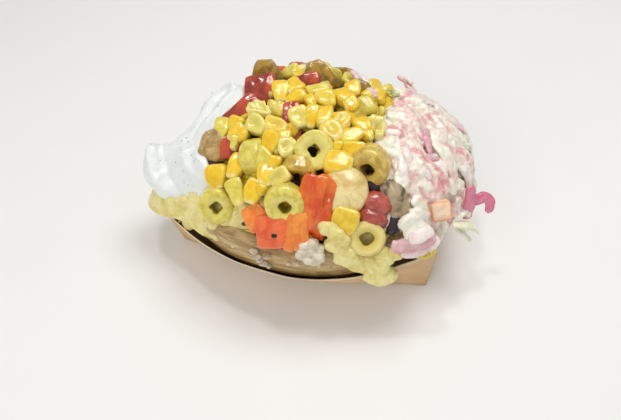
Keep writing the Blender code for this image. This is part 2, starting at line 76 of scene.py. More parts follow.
def hump(x: np.ndarray, y: np.ndarray, at: Flat, half_x: float, half_y: float) -> np.ndarray:
    """A soft round rise of height 1 at a place seen from above."""
    return np.exp(-((x - at[0]) / half_x) ** 2 - ((y - at[1]) / half_y) ** 2)


def grain(points: np.ndarray, cell: Sequence[float] | float, seed: float = 0.0) -> np.ndarray:
    """Uneven values between about -1 and 1 at points, with lumps as wide as the cell.

    Args:
        points: rows of x, y, z.
        cell: width of a lump, or its widths along x, y and z.
        seed: shifts the pattern.

    Returns:
        One value for each point.
    """
    where = points / np.asarray(cell, dtype=float) + (seed, 1.7 * seed, -seed)
    return np.array([noise.noise(Vector(spot)) for spot in where.reshape(-1, 3)])


def curve_through(points: Sequence[Sequence[float]], steps: int, closed: bool) -> np.ndarray:
    """A smooth curve through points.

    Args:
        points: the points to pass.
        steps: how many pieces there are between two points.
        closed: whether the curve runs back to its start.

    Returns:
        Rows of points along the curve.
    """
    knots = np.asarray(points, dtype=float)
    count = len(knots)
    if closed:
        around = [knots[i % count] for i in range(-1, count + 2)]
    else:
        around = [2 * knots[0] - knots[1], *knots, 2 * knots[-1] - knots[-2]]
    line = []
    for a, b, c, d in zip(around, around[1:], around[2:], around[3:]):
        for step in range(steps):
            t = step / steps
            line.append(0.5 * (2 * b + (c - a) * t + (2 * a - 5 * b + 4 * c - d) * t * t
                               + (3 * b - a - 3 * c + d) * t ** 3))
    if not closed:
        line.append(knots[-1])
    return np.array(line)


# ---------------------------------------------------------------- shading

class Value:
    """A node's output that takes part in arithmetic: an expression adds its Math nodes."""

    def __init__(self, shader: "Shader", socket: bpy.types.NodeSocket) -> None:
        self.shader = shader
        self.socket = socket

    def _math(self, operation: str, first: Any, second: Any = 0.0) -> "Value":
        """Adds one Math node on two values or numbers."""
        return self.shader.node("ShaderNodeMath", {"operation": operation}, {0: first, 1: second})

    def __add__(self, other: Any) -> "Value":
        """Sum with a value or number."""
        return self._math("ADD", self, other)

    def __sub__(self, other: Any) -> "Value":
        """This less a value or number."""
        return self._math("SUBTRACT", self, other)

    def __rsub__(self, other: Any) -> "Value":
        """A number less this."""
        return self._math("SUBTRACT", other, self)

    def __mul__(self, other: Any) -> "Value":
        """Product with a value or number."""
        return self._math("MULTIPLY", self, other)

    def __truediv__(self, other: Any) -> "Value":
        """This over a value or number."""
        return self._math("DIVIDE", self, other)

    def __pow__(self, other: Any) -> "Value":
        """This to a power."""
        return self._math("POWER", self, other)

    __radd__ = __add__
    __rmul__ = __mul__


class Shader:
    """One material being built from nodes, ending in a Principled shader."""

    def __init__(self, name: str) -> None:
        self.material = bpy.data.materials.new(name)
        self.material.use_nodes = True
        self.tree = self.material.node_tree
        self.surface = self.tree.nodes["Principled BSDF"]
        self.place = self.node("ShaderNodeTexCoord", output="Object")

    def node(self, kind: str, settings: dict[str, Any] | None = None,
             inputs: dict[int | str, Any] | None = None, output: int | str = 0) -> Value:
        """Adds a node.

        Args:
            kind: the node's type.
            settings: the node's own options; "stops" sets a colour ramp's stops.
            inputs: a value, number or colour for each named or numbered socket.
            output: which output comes back.

        Returns:
            That output.
        """
        made = self.tree.nodes.new(kind)
        for key, setting in (settings or {}).items():
            if key == "stops":
                for index, (position, colour) in enumerate(setting):
                    stops = made.color_ramp.elements
                    stop = stops[index] if index < 2 else stops.new(position)
                    stop.position = position
                    stop.color = (*colour, 1.0)
            else:
                setattr(made, key, setting)
        for key, given in (inputs or {}).items():
            if isinstance(given, Value):
                self.tree.links.new(given.socket, made.inputs[key])
            elif isinstance(given, tuple) and len(made.inputs[key].default_value) == 4:
                made.inputs[key].default_value = (*given, 1.0)
            else:
                made.inputs[key].default_value = given
        return Value(self, made.outputs[output])

    def noise(self, cell: float, detail: float = 2.0, roughness: float = 0.5,
              warp: float = 0.0, place: Value | None = None) -> Value:
        """Cloudy values of 0 to 1 with lumps as wide as the cell in millimetres."""
        return self.node("ShaderNodeTexNoise", {}, {
            "Vector": place or self.place, "Scale": 1 / (cell * MM), "Detail": detail,
            "Roughness": roughness, "Distortion": warp})

    def cells(self, cell: float, feature: str = "F1", place: Value | None = None) -> Value:
        """Distance to the nearest of scattered points, in cells of that width."""
        return self.node("ShaderNodeTexVoronoi", {"feature": feature}, {
            "Vector": place or self.place, "Scale": 1 / (cell * MM)}, "Distance")

    def drawn(self, x: float, y: float, z: float) -> Value:
        """The object's coordinates squeezed along each axis, which draws a pattern out."""
        return self.node("ShaderNodeVectorMath", {"operation": "MULTIPLY"},
                         {0: self.place, 1: (x, y, z)})

    def mark(self, name: str) -> Value:
        """A number that the mesh carries on its points."""
        return self.node("ShaderNodeAttribute", {"attribute_name": name}, output="Fac")

    def step(self, value: Value, low: float, high: float) -> Value:
        """0 below low and 1 above high, with a soft rise between them."""
        return self.node("ShaderNodeMapRange", {"interpolation_type": "SMOOTHSTEP"},
                         {"Value": value, "From Min": low, "From Max": high})

    def mix(self, share: Value | float, first: Any, second: Any, way: str = "MIX") -> Value:
        """The first colour, with a share of the second."""
        return self.node("ShaderNodeMix", {"data_type": "RGBA", "blend_type": way,
                                           "clamp_factor": True},
                         {0: share, 6: first, 7: second}, 2)

    def relief(self, height: Value, depth: float) -> Value:
        """A normal that shows a height of 0 to 1 as relief of a depth in millimetres."""
        return self.node("ShaderNodeBump", {}, {"Height": height, "Distance": depth * MM})

    def finish(self, colour: Value, roughness: Value | float, normal: Value,
               **fixed: Any) -> bpy.types.Material:
        """Links the surface's inputs and returns the material.

        Args:
            colour: base colour.
            roughness: roughness.
            normal: normal.
            fixed: values that are the same all over, by the socket's name with underscores.

        Returns:
            The material.
        """
        for name, given in (("Base Color", colour), ("Roughness", roughness), ("Normal", normal)):
            if isinstance(given, Value):
                self.tree.links.new(given.socket, self.surface.inputs[name])
            else:
                self.surface.inputs[name].default_value = given
        for name, given in fixed.items():
            self.surface.inputs[name.replace("_", " ")].default_value = given
        return self.material


@dataclass(frozen=True)
class Moist:
    """A moist food: two shades in soft patches, small flecks, a paler cut side and a wet gloss.

    The mesh may carry two marks: "cut" is 1 on a cut side, and "tone" lightens one piece.
    """

    name: str
    light: Colour
    deep: Colour
    cut: Colour
    fleck: Colour
    patch: float = 5.0
    flecks: float = 0.25
    fleck_size: float = 1.1
    streak: Point = (1.0, 1.0, 1.0)
    bump: float = 0.12
    bump_size: float = 1.2
    roughness: float = 0.32
    coat: float = 0.35
    depth: float = 0.12
    reach: float = 1.2
    warmth: Colour = (1.0, 0.6, 0.3)

    def build(self) -> bpy.types.Material:
        """The material."""
        shader = Shader(self.name)
        place = shader.drawn(*self.streak)
        patches = shader.step(shader.noise(self.patch, 3.0, 0.6, 0.6, place), 0.36, 0.66)
        fine = shader.noise(self.fleck_size, 3.0, 0.6)
        flecks = shader.step(fine, 0.58, 0.70) * self.flecks
        colour = shader.mix(patches, self.light, self.deep)
        colour = shader.mix(shader.mark("cut"), colour, self.cut)
        colour = shader.mix(flecks, colour, self.fleck)
        colour = shader.mix(shader.mark("tone"), colour, self.cut)
        rough = shader.step(shader.noise(self.patch * 0.5, 2.0), 0.3, 0.75) * 0.18
        height = shader.noise(self.bump_size, 4.0, 0.55, 0.4, place)
        return shader.finish(
            colour, rough + (self.roughness - 0.09), shader.relief(height, self.bump),
            Coat_Weight=self.coat, Coat_Roughness=0.06, Subsurface_Weight=self.depth,
            Subsurface_Radius=self.warmth, Subsurface_Scale=self.reach * MM)


@dataclass(frozen=True)
class Kraft:
    """Brown kraft card: fine fibres, faint folds and a pale cut edge where "edge" is 1."""

    name: str = "kraft_card"
    brown: Colour = tint(226, 192, 148)
    deep: Colour = tint(200, 162, 116)
    pale: Colour = tint(240, 226, 196)

    def build(self) -> bpy.types.Material:
        """The material."""
        shader = Shader(self.name)
        fibres = shader.noise(0.7, 4.0, 0.7, 1.5, shader.drawn(0.35, 0.35, 1.6))
        cloud = shader.noise(16.0, 3.0, 0.6)
        flecks = shader.step(shader.noise(0.9, 2.0, 0.5, 2.0), 0.64, 0.70)
        grease = shader.step(shader.noise(22.0, 2.0, 0.5), 0.56, 0.72) * 0.35
        colour = shader.mix(shader.step(fibres * 0.6 + cloud * 0.4, 0.35, 0.65),
                            self.brown, self.deep)
        colour = shader.mix(flecks * 0.35, colour, tint(120, 84, 48))
        colour = shader.mix(grease, colour, tint(150, 108, 66))
        colour = shader.mix(shader.mark("edge"), colour, self.pale)
        return shader.finish(colour, 0.78 - grease * 0.5,
                             shader.relief(fibres + cloud * 0.6, 0.10))


@dataclass(frozen=True)
class Skin:
    """Baked potato skin: tan with streaks along it, pale blisters, dark pits and a dull shine."""

    name: str = "baked_skin"

    def build(self) -> bpy.types.Material:
        """The material."""
        shader = Shader(self.name)
        along = shader.drawn(0.16, 0.4, 1.0)
        streaks = shader.noise(2.4, 4.0, 0.62, 0.8, along)
        cloud = shader.noise(18.0, 3.0, 0.6, 0.5)
        blister = shader.step(shader.noise(3.2, 3.0, 0.6, 0.8), 0.58, 0.74)
        pits = 1 - shader.step(shader.cells(4.5), 0.05, 0.16)
        colour = shader.mix(shader.step(streaks, 0.34, 0.68), tint(156, 122, 70),
                            tint(208, 182, 128))
        colour = shader.mix(shader.step(cloud, 0.45, 0.75) * 0.6, colour, tint(124, 90, 46))
        colour = shader.mix(blister * 0.5, colour, tint(216, 192, 140))
        colour = shader.mix(pits * 0.5, colour, tint(96, 66, 34))
        colour = shader.mix(shader.mark("cut"), colour, tint(206, 186, 116))
        height = streaks * 0.7 + blister * 0.5 - pits * 0.6
        return shader.finish(colour, 0.52 - streaks * 0.2, shader.relief(height, 0.45),
                             Coat_Weight=0.4, Coat_Roughness=0.2, Subsurface_Weight=0.04,
                             Subsurface_Radius=(1.0, 0.5, 0.2), Subsurface_Scale=0.001)


@dataclass(frozen=True)
class Corn:
    """Sweetcorn: bright yellow, each kernel its own shade by "tone", its tip pale by "cut"."""

    name: str = "sweetcorn"

    def build(self) -> bpy.types.Material:
        """The material."""
        shader = Shader(self.name)
        tone = shader.mark("tone")
        cloud = shader.step(shader.noise(3.5, 2.0, 0.5, 0.5), 0.35, 0.70)
        bright = shader.mix(cloud, tint(246, 208, 34), tint(238, 188, 18))
        pale = shader.mix(cloud, tint(236, 220, 104), tint(214, 196, 72))
        colour = shader.mix(shader.step(tone, 0.25, 0.75), bright, pale)
        # painted light: the mark "edge" lightens the kernel's sides, a painted glow of light shining through it
        colour = shader.mix(shader.mark("edge") * 0.4, colour, tint(255, 240, 120))
        colour = shader.mix(shader.mark("cut") * (0.65 + cloud * 0.3), colour,
                            tint(252, 242, 176))
        # painted shade: the mark "inner" darkens the middle of an open kernel's hollow
        colour = shader.mix(shader.mark("inner") * 0.7, colour, tint(222, 196, 70))
        colour = shader.mix(shader.step(tone, 0.9, 1.0) * 0.6, colour, tint(198, 180, 82))
        height = shader.noise(1.6, 3.0, 0.5, 0.4)
        return shader.finish(colour, 0.20 + cloud * 0.08, shader.relief(height, 0.12),
                             Coat_Weight=0.8, Coat_Roughness=0.05, Subsurface_Weight=0.25,
                             Subsurface_Radius=(1.0, 0.8, 0.2), Subsurface_Scale=0.002)


@dataclass(frozen=True)
class Olive:
    """A pitted olive's slice: green-yellow skin, a paler cut face, greener near its hole, and painted shade in its
    hole.
    """

    name: str
    skin: Colour
    deep: Colour
    flesh: Colour
    inner: Colour

    def build(self) -> bpy.types.Material:
        """The material."""
        shader = Shader(self.name)
        cloud = shader.noise(4.0, 3.0, 0.6, 0.6)
        specks = shader.step(shader.noise(0.9, 2.0, 0.5), 0.62, 0.70)
        skin = shader.mix(shader.step(cloud, 0.38, 0.66), self.skin, self.deep)
        skin = shader.mix(specks * 0.3, skin, self.flesh)
        flesh = shader.mix(shader.mark("inner"), self.flesh, self.inner)
        flesh = shader.mix(shader.step(cloud, 0.5, 0.8) * 0.35, flesh, self.inner)
        colour = shader.mix(shader.mark("cut"), skin, flesh)
        # painted shade: the mark "tone" darkens the inside of the hole to a dull brown
        colour = shader.mix(shader.mark("tone"), colour, tint(112, 98, 44))
        height = shader.noise(1.0, 3.0, 0.6) + specks * 0.3
        return shader.finish(colour, 0.30 + shader.mark("cut") * 0.14,
                             shader.relief(height, 0.08), Coat_Weight=0.8, Coat_Roughness=0.05,
                             Subsurface_Weight=0.22, Subsurface_Radius=(1.0, 0.8, 0.25),
                             Subsurface_Scale=0.002)


@dataclass(frozen=True)
class Mashed:
    """Mashed flesh: yellow-green cream with paler grains and a moist, crumbly relief."""

    name: str = "mashed_flesh"

    def build(self) -> bpy.types.Material:
        """The material."""
        shader = Shader(self.name)
        cloud = shader.step(shader.noise(8.0, 4.0, 0.6, 0.8), 0.36, 0.66)
        grains = shader.step(shader.noise(1.3, 3.0, 0.6, 0.5), 0.48, 0.68)
        colour = shader.mix(cloud, tint(246, 234, 160), tint(228, 210, 118))
        colour = shader.mix(grains * 0.35, colour, tint(252, 246, 204))
        colour = shader.mix(shader.step(shader.noise(5.0, 2.0), 0.58, 0.74) * 0.5, colour,
                            tint(204, 184, 84))
        height = shader.noise(1.5, 5.0, 0.65, 0.5) + shader.noise(4.0, 2.0) * 0.8
        return shader.finish(colour, 0.46 - grains * 0.12, shader.relief(height, 0.5),
                             Coat_Weight=0.35, Coat_Roughness=0.15, Subsurface_Weight=0.2,
                             Subsurface_Radius=(1.0, 0.8, 0.35), Subsurface_Scale=0.0015)


@dataclass(frozen=True)
class Yoghurt:
    """Thick white yoghurt with fine dark herb specks, a few green ones, and a satin face."""

    name: str = "herbed_yoghurt"

    def build(self) -> bpy.types.Material:
        """The material."""
        shader = Shader(self.name)
        specks = 1 - shader.step(shader.cells(3.4), 0.09, 0.15)
        some = shader.step(shader.noise(5.0, 1.0), 0.42, 0.47)
        fine = 1 - shader.step(shader.cells(1.7), 0.06, 0.11)
        tint_of = shader.mix(shader.step(shader.noise(6.0), 0.45, 0.55), tint(96, 104, 84),
                             tint(120, 118, 110))
        colour = shader.mix(shader.noise(9.0, 3.0), tint(246, 248, 244), tint(228, 233, 230))
        colour = shader.mix(specks * some * 0.75, colour, tint_of)
        colour = shader.mix(fine * (1 - some) * 0.35, colour, tint_of)
        height = shader.noise(3.2, 4.0, 0.6, 0.8) + specks * some * 0.25
        return shader.finish(colour, 0.34, shader.relief(height, 0.25),
                             Coat_Weight=0.15, Coat_Roughness=0.25, Subsurface_Weight=0.2,
                             Subsurface_Radius=(1.0, 0.95, 0.9), Subsurface_Scale=0.0015)


@dataclass(frozen=True)
class Dressed:
    """Slaw: cream dressing over shreds whose long edges ("edge") are stained.

    The mark "tone" says how much of the stain shows through on each shred.
    """

    name: str
    cream: Colour
    shade: Colour
    stain: Colour
    deep: Colour
    cover: float = 0.5

    def build(self) -> bpy.types.Material:
        """The material."""
        shader = Shader(self.name)
        cloud = shader.noise(4.0, 4.0, 0.6, 0.8)
        coat = shader.step(shader.noise(6.0, 3.0, 0.5, 0.8), self.cover - 0.08, self.cover + 0.08)
        cream = shader.mix(shader.step(cloud, 0.35, 0.7), self.cream, self.shade)
        stained = shader.mix(shader.step(cloud, 0.4, 0.65), self.stain, self.deep)
        shows = shader.mark("tone") * (shader.mark("edge") * 0.45 + 0.65)
        colour = shader.mix(shows * (1 - coat * 0.75), cream, stained)
        height = shader.noise(1.8, 4.0, 0.6, 0.6) + coat * 0.5
        return shader.finish(colour, 0.34 - coat * 0.08, shader.relief(height, 0.3),
                             Coat_Weight=0.6, Coat_Roughness=0.08, Subsurface_Weight=0.12,
                             Subsurface_Radius=(1.0, 0.8, 0.7), Subsurface_Scale=0.001)


# ---------------------------------------------------------------- meshes

@dataclass(frozen=True)
class Rough:
    """One layer of uneven relief: the width of its lumps, its height and its seed.

    A ridged layer stands up in creases instead of lumps.
    """

    cell: Sequence[float] | float
    height: float
    seed: float = 0.0
    ridged: bool = False


@dataclass
class Form:
    """A mesh being shaped: its points, its faces and the marks that its material reads."""

    points: np.ndarray
    faces: list[tuple[int, ...]]
    marks: dict[str, np.ndarray] = field(default_factory=dict)

    def mesh(self, name: str, scale: float = 1.0) -> bpy.types.Mesh:
        """A mesh with the form's points times a scale, and its marks."""
        mesh = bpy.data.meshes.new(name)
        mesh.from_pydata((self.points * scale).tolist(), [], self.faces)
        for key, values in self.marks.items():
            layer = mesh.attributes.new(key, "FLOAT", "POINT")
            layer.data.foreach_set("value", np.asarray(values, dtype=np.float32))
        mesh.shade_smooth()
        mesh.update()
        return mesh

    @staticmethod
    def of_mesh(mesh: bpy.types.Mesh, scale: float = 1.0) -> "Form":
        """The form of a mesh, its points times a scale, with its marks."""
        points = np.empty(len(mesh.vertices) * 3)
        mesh.vertices.foreach_get("co", points)
        marks = {}
        for layer in mesh.attributes:
            if layer.data_type == "FLOAT" and layer.domain == "POINT":
                marks[layer.name] = np.empty(len(mesh.vertices), dtype=np.float32)
                layer.data.foreach_get("value", marks[layer.name])
        return Form(points.reshape(-1, 3) * scale, [tuple(face.vertices) for face in mesh.polygons],
                    marks)

    def normals(self) -> np.ndarray:
        """The outward direction at each point."""
        mesh = self.mesh("measured")
        found = np.empty(len(self.points) * 3)
        mesh.vertex_normals.foreach_get("vector", found)
        bpy.data.meshes.remove(mesh)
        return found.reshape(-1, 3)

    def pushed(self, out: np.ndarray) -> "Form":
        """The form with each point moved out along its normal."""
        return Form(self.points + self.normals() * out[:, None], self.faces, self.marks)

    def roughened(self, *layers: Rough, share: np.ndarray | float = 1.0) -> "Form":
        """The form with layers of relief.

        Args:
            layers: the layers, each pushed along the same normals.
            share: how much of the relief each point gets.

        Returns:
            The new form.
        """
        out = np.zeros(len(self.points))
        for layer in layers:
            lumps = grain(self.points, layer.cell, layer.seed)
            out += layer.height * (0.6 - 2.4 * np.abs(lumps) if layer.ridged else lumps)
        return self.pushed(out * share)

    def placed(self, turn: Matrix, place: Sequence[float]) -> "Form":
        """The form turned and then moved."""
        return Form(self.points @ np.array(turn).T + np.asarray(place), self.faces, self.marks)

    def marked(self, **values: np.ndarray | float) -> "Form":
        """The form with marks set, from one value or one for each point."""
        marks = dict(self.marks)
        for key, value in values.items():
            marks[key] = np.broadcast_to(value, len(self.points)).astype(np.float32)
        return Form(self.points, self.faces, marks)


def together(forms: Sequence[Form]) -> Form:
    """One form that holds several, each still its own closed body."""
    points, faces, start = [], [], 0
    keys = {key for form in forms for key in form.marks}
    marks: dict[str, list] = {key: [] for key in keys}
    for form in forms:
        points.append(form.points)
        faces += [tuple(i + start for i in face) for face in form.faces]
        for key in keys:
            marks[key].append(form.marks.get(key, np.zeros(len(form.points), dtype=np.float32)))
        start += len(form.points)
    return Form(np.concatenate(points), faces,
                {key: np.concatenate(parts) for key, parts in sorted(marks.items())})


def lay(name: str, form: Form, finish: bpy.types.Material, slot: str, *nodes: str) -> None:
    """Adds a finished piece to the object.

    Args:
        name: the piece's name.
        form: its shape in millimetres, where it stands.
        finish: its material.
        slot: the record's material slot for its finish; not used.
        nodes: the solids that it stands for.
    """
    mesh = form.mesh(name, MM)
    bm = bmesh.new()
    bm.from_mesh(mesh)
    bmesh.ops.recalc_face_normals(bm, faces=bm.faces)
    bm.to_mesh(mesh)
    bm.free()
    mesh.materials.append(finish)
    piece = bpy.data.objects.new(name, mesh)
    bpy.context.scene.collection.objects.link(piece)
    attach(piece, BODY)
    if nodes:
        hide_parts(*nodes)
    log.info("%s: %d faces, stands for %s", name, len(mesh.polygons), ", ".join(nodes) or "nothing")


def block(steps: int, power: float) -> Form:
    """A cube of half width 1 with softened edges: the higher the power, the sharper they are."""
    bm = bmesh.new()
    bmesh.ops.create_cube(bm, size=2.0)
    bmesh.ops.subdivide_edges(bm, edges=bm.edges[:], cuts=steps - 1, use_grid_fill=True)
    bm.verts.index_update()
    points = np.array([vert.co for vert in bm.verts])
    faces = [tuple(vert.index for vert in face.verts) for face in bm.faces]
    bm.free()
    size = (np.abs(points) ** power).sum(1) ** (1 / power)
    return Form(points / size[:, None], faces)


def loop_faces(rows: int, around: int, closed: bool) -> list[tuple[int, ...]]:
    """Faces between rows of points that each run all the way round.

    Args:
        rows: how many rows.
        around: points in each row.
        closed: whether the last row joins the first.

    Returns:
        The faces.
    """
    faces = []
    for row in range(rows if closed else rows - 1):
        below, above = row * around, (row + 1) % rows * around
        faces += [(below + i, below + (i + 1) % around, above + (i + 1) % around, above + i)
                  for i in range(around)]
    return faces


def stacked(rows: Sequence[np.ndarray], top: Sequence[float], bottom: Sequence[float]) -> Form:
    """A closed skin through rows of points, with a pole at each end."""
    around = len(rows[0])
    points = np.concatenate([*rows, [top], [bottom]])
    faces = loop_faces(len(rows), around, False)
    end = len(rows) * around
    last = end - around
    faces += [(i, (i + 1) % around, end) for i in range(around)]
    faces += [(last + (i + 1) % around, last + i, end + 1) for i in range(around)]
    return Form(points, faces)


def turned(profile: Sequence[Flat], around: int) -> Form:
    """A closed line of (radius, height) points turned round Z."""
    angles = np.arange(around) * 2 * math.pi / around
    rows = [np.stack([radius * np.cos(angles), radius * np.sin(angles),
                      np.full(around, height)], 1) for radius, height in profile]
    return Form(np.concatenate(rows), loop_faces(len(rows), around, True))


def melted(parts: Sequence[Form], voxel: float, soften: int) -> Form:
    """Several forms run together into one skin.

    Args:
        parts: the forms, which overlap.
        voxel: how fine the skin is, in millimetres.
        soften: how often it is smoothed.

    Returns:
        The one form.
    """
    whole = together(parts)
    mesh = Form(whole.points, whole.faces).mesh("melting", MM)
    made = bpy.data.objects.new("melting", mesh)
    bpy.context.scene.collection.objects.link(made)
    remesh = made.modifiers.new("remesh", "REMESH")
    remesh.mode = "VOXEL"
    remesh.voxel_size = voxel * MM
    relax = made.modifiers.new("soften", "SMOOTH")
    relax.factor = 0.5
    relax.iterations = soften
    bpy.context.view_layer.update()
    result = bpy.data.meshes.new_from_object(made.evaluated_get(
        bpy.context.evaluated_depsgraph_get()))
    form = Form.of_mesh(result, 1 / MM)
    bpy.data.objects.remove(made)
    bpy.data.meshes.remove(mesh)
    bpy.data.meshes.remove(result)
    return form


def ribbon(line: Sequence[Point], width: float, thickness: float, out: Point | None = None,
           fat: float = 0.6, steps: int = 5, twist: float = 0.0, cup: float = 0.0) -> Form:
    """A soft flat strip along a curve, marked 1 along its long edges and narrow at its ends.

    Args:
        line: points that its middle passes.
        width: its width.
        thickness: its thickness.
        out: the way its flat side faces; along the load's own surface if not given.
        fat: how blunt its ends are, from 0 to 1.
        steps: how many pieces there are between two points.
        twist: how far it turns about its middle line from end to end, in radians.
        cup: how far its long edges bend down.

    Returns:
        The strip.
    """
    path = curve_through(line, steps, False)
    along = np.gradient(path, axis=0)
    along /= np.linalg.norm(along, axis=1)[:, None]
    faces_out = np.array([LOAD.out(*spot[:2]) for spot in path]) if out is None else \
        np.broadcast_to(np.asarray(out, dtype=float), path.shape)
    side = np.cross(along, faces_out)
    side /= np.maximum(np.linalg.norm(side, axis=1), 1e-6)[:, None]
    up = np.cross(side, along)
    turn = (twist * (np.linspace(-0.5, 0.5, len(path))))[:, None]
    side, up = side * np.cos(turn) + up * np.sin(turn), up * np.cos(turn) - side * np.sin(turn)
    ring = np.arange(10) * 2 * math.pi / 10
    rows = []
    for index, spot in enumerate(path[1:-1], start=1):
        t = index / (len(path) - 1)
        full = (4 * t * (1 - t)) ** (0.5 * (1 - fat))
        across = np.sign(np.cos(ring)) * np.abs(np.cos(ring)) ** 0.6 * width / 2 * full
        lift = np.sign(np.sin(ring)) * np.abs(np.sin(ring)) ** 0.6 * thickness / 2 * full
        lift = lift - cup * (2 * across / width) ** 2
        rows.append(spot + across[:, None] * side[index] + lift[:, None] * up[index])
    made = stacked(rows, path[0], path[-1])
    edge = np.concatenate([np.tile(np.abs(np.cos(ring)) ** 3, len(rows)), [0.3, 0.3]])
    return made.marked(edge=edge)


# ---------------------------------------------------------------- the load's outer surface

@dataclass(frozen=True)
class Load:
    """The outer surface of everything on the potato: half an uneven egg."""

    crown: Flat = (3.0, 10.0)
    top: float = 93.0
    rim: float = 48.0
    left: float = 88.0
    right: float = 90.0
    front: float = 80.0
    back: float = 51.0
    press: Point = (-0.2, 0.7, -0.68)

    def height(self, x: np.ndarray | float, y: np.ndarray | float) -> np.ndarray:
        """Its height over a place."""
        x, y = np.asarray(x, dtype=float), np.asarray(y, dtype=float)
        u = (x - self.crown[0]) / np.where(x < self.crown[0], self.left, self.right)
        v = (y - self.crown[1]) / np.where(y < self.crown[1], self.front, self.back)
        fall = 0.5 + 0.16 * smooth(0, 60, self.crown[0] - x)
        return self.rim + (self.top - self.rim) * np.maximum(1 - u * u - v * v, 0.0) ** fall

    def out(self, x: float, y: float) -> Vector:
        """The way its surface faces over a place."""
        step = 1.5
        rise_x = float(self.height(x + step, y) - self.height(x - step, y)) / (2 * step)
        rise_y = float(self.height(x, y + step) - self.height(x, y - step)) / (2 * step)
        return Vector((-rise_x, -rise_y, 1.0)).normalized()

    def inward(self, y: float) -> Vector:
        """The way that pieces are pressed in: down, and towards the middle."""
        press = Vector(self.press).normalized()
        return press if y < 25 else Vector((press.x, -press.y, press.z))


LOAD = Load()


@dataclass(frozen=True)
class Place:
    """Where a piece lies on the load, how deep it is pressed in and which way it faces."""

    x: float
    y: float
    sunk: float = 0.0
    azimuth: float = -75.0
    elevation: float = 45.0
    spin: float = 0.0

    def set(self, form: Form) -> Form:
        """The form with its own +Z turned to face out and its +Y up the slope, in place."""
        tilt = Euler((math.radians(90 - self.elevation), 0, math.radians(self.azimuth + 90)))
        turn = tilt.to_matrix() @ Matrix.Rotation(math.radians(self.spin), 3, "Z")
        spot = Vector((self.x, self.y, float(LOAD.height(self.x, self.y))))
        return form.placed(turn, spot + LOAD.inward(self.y) * self.sunk)


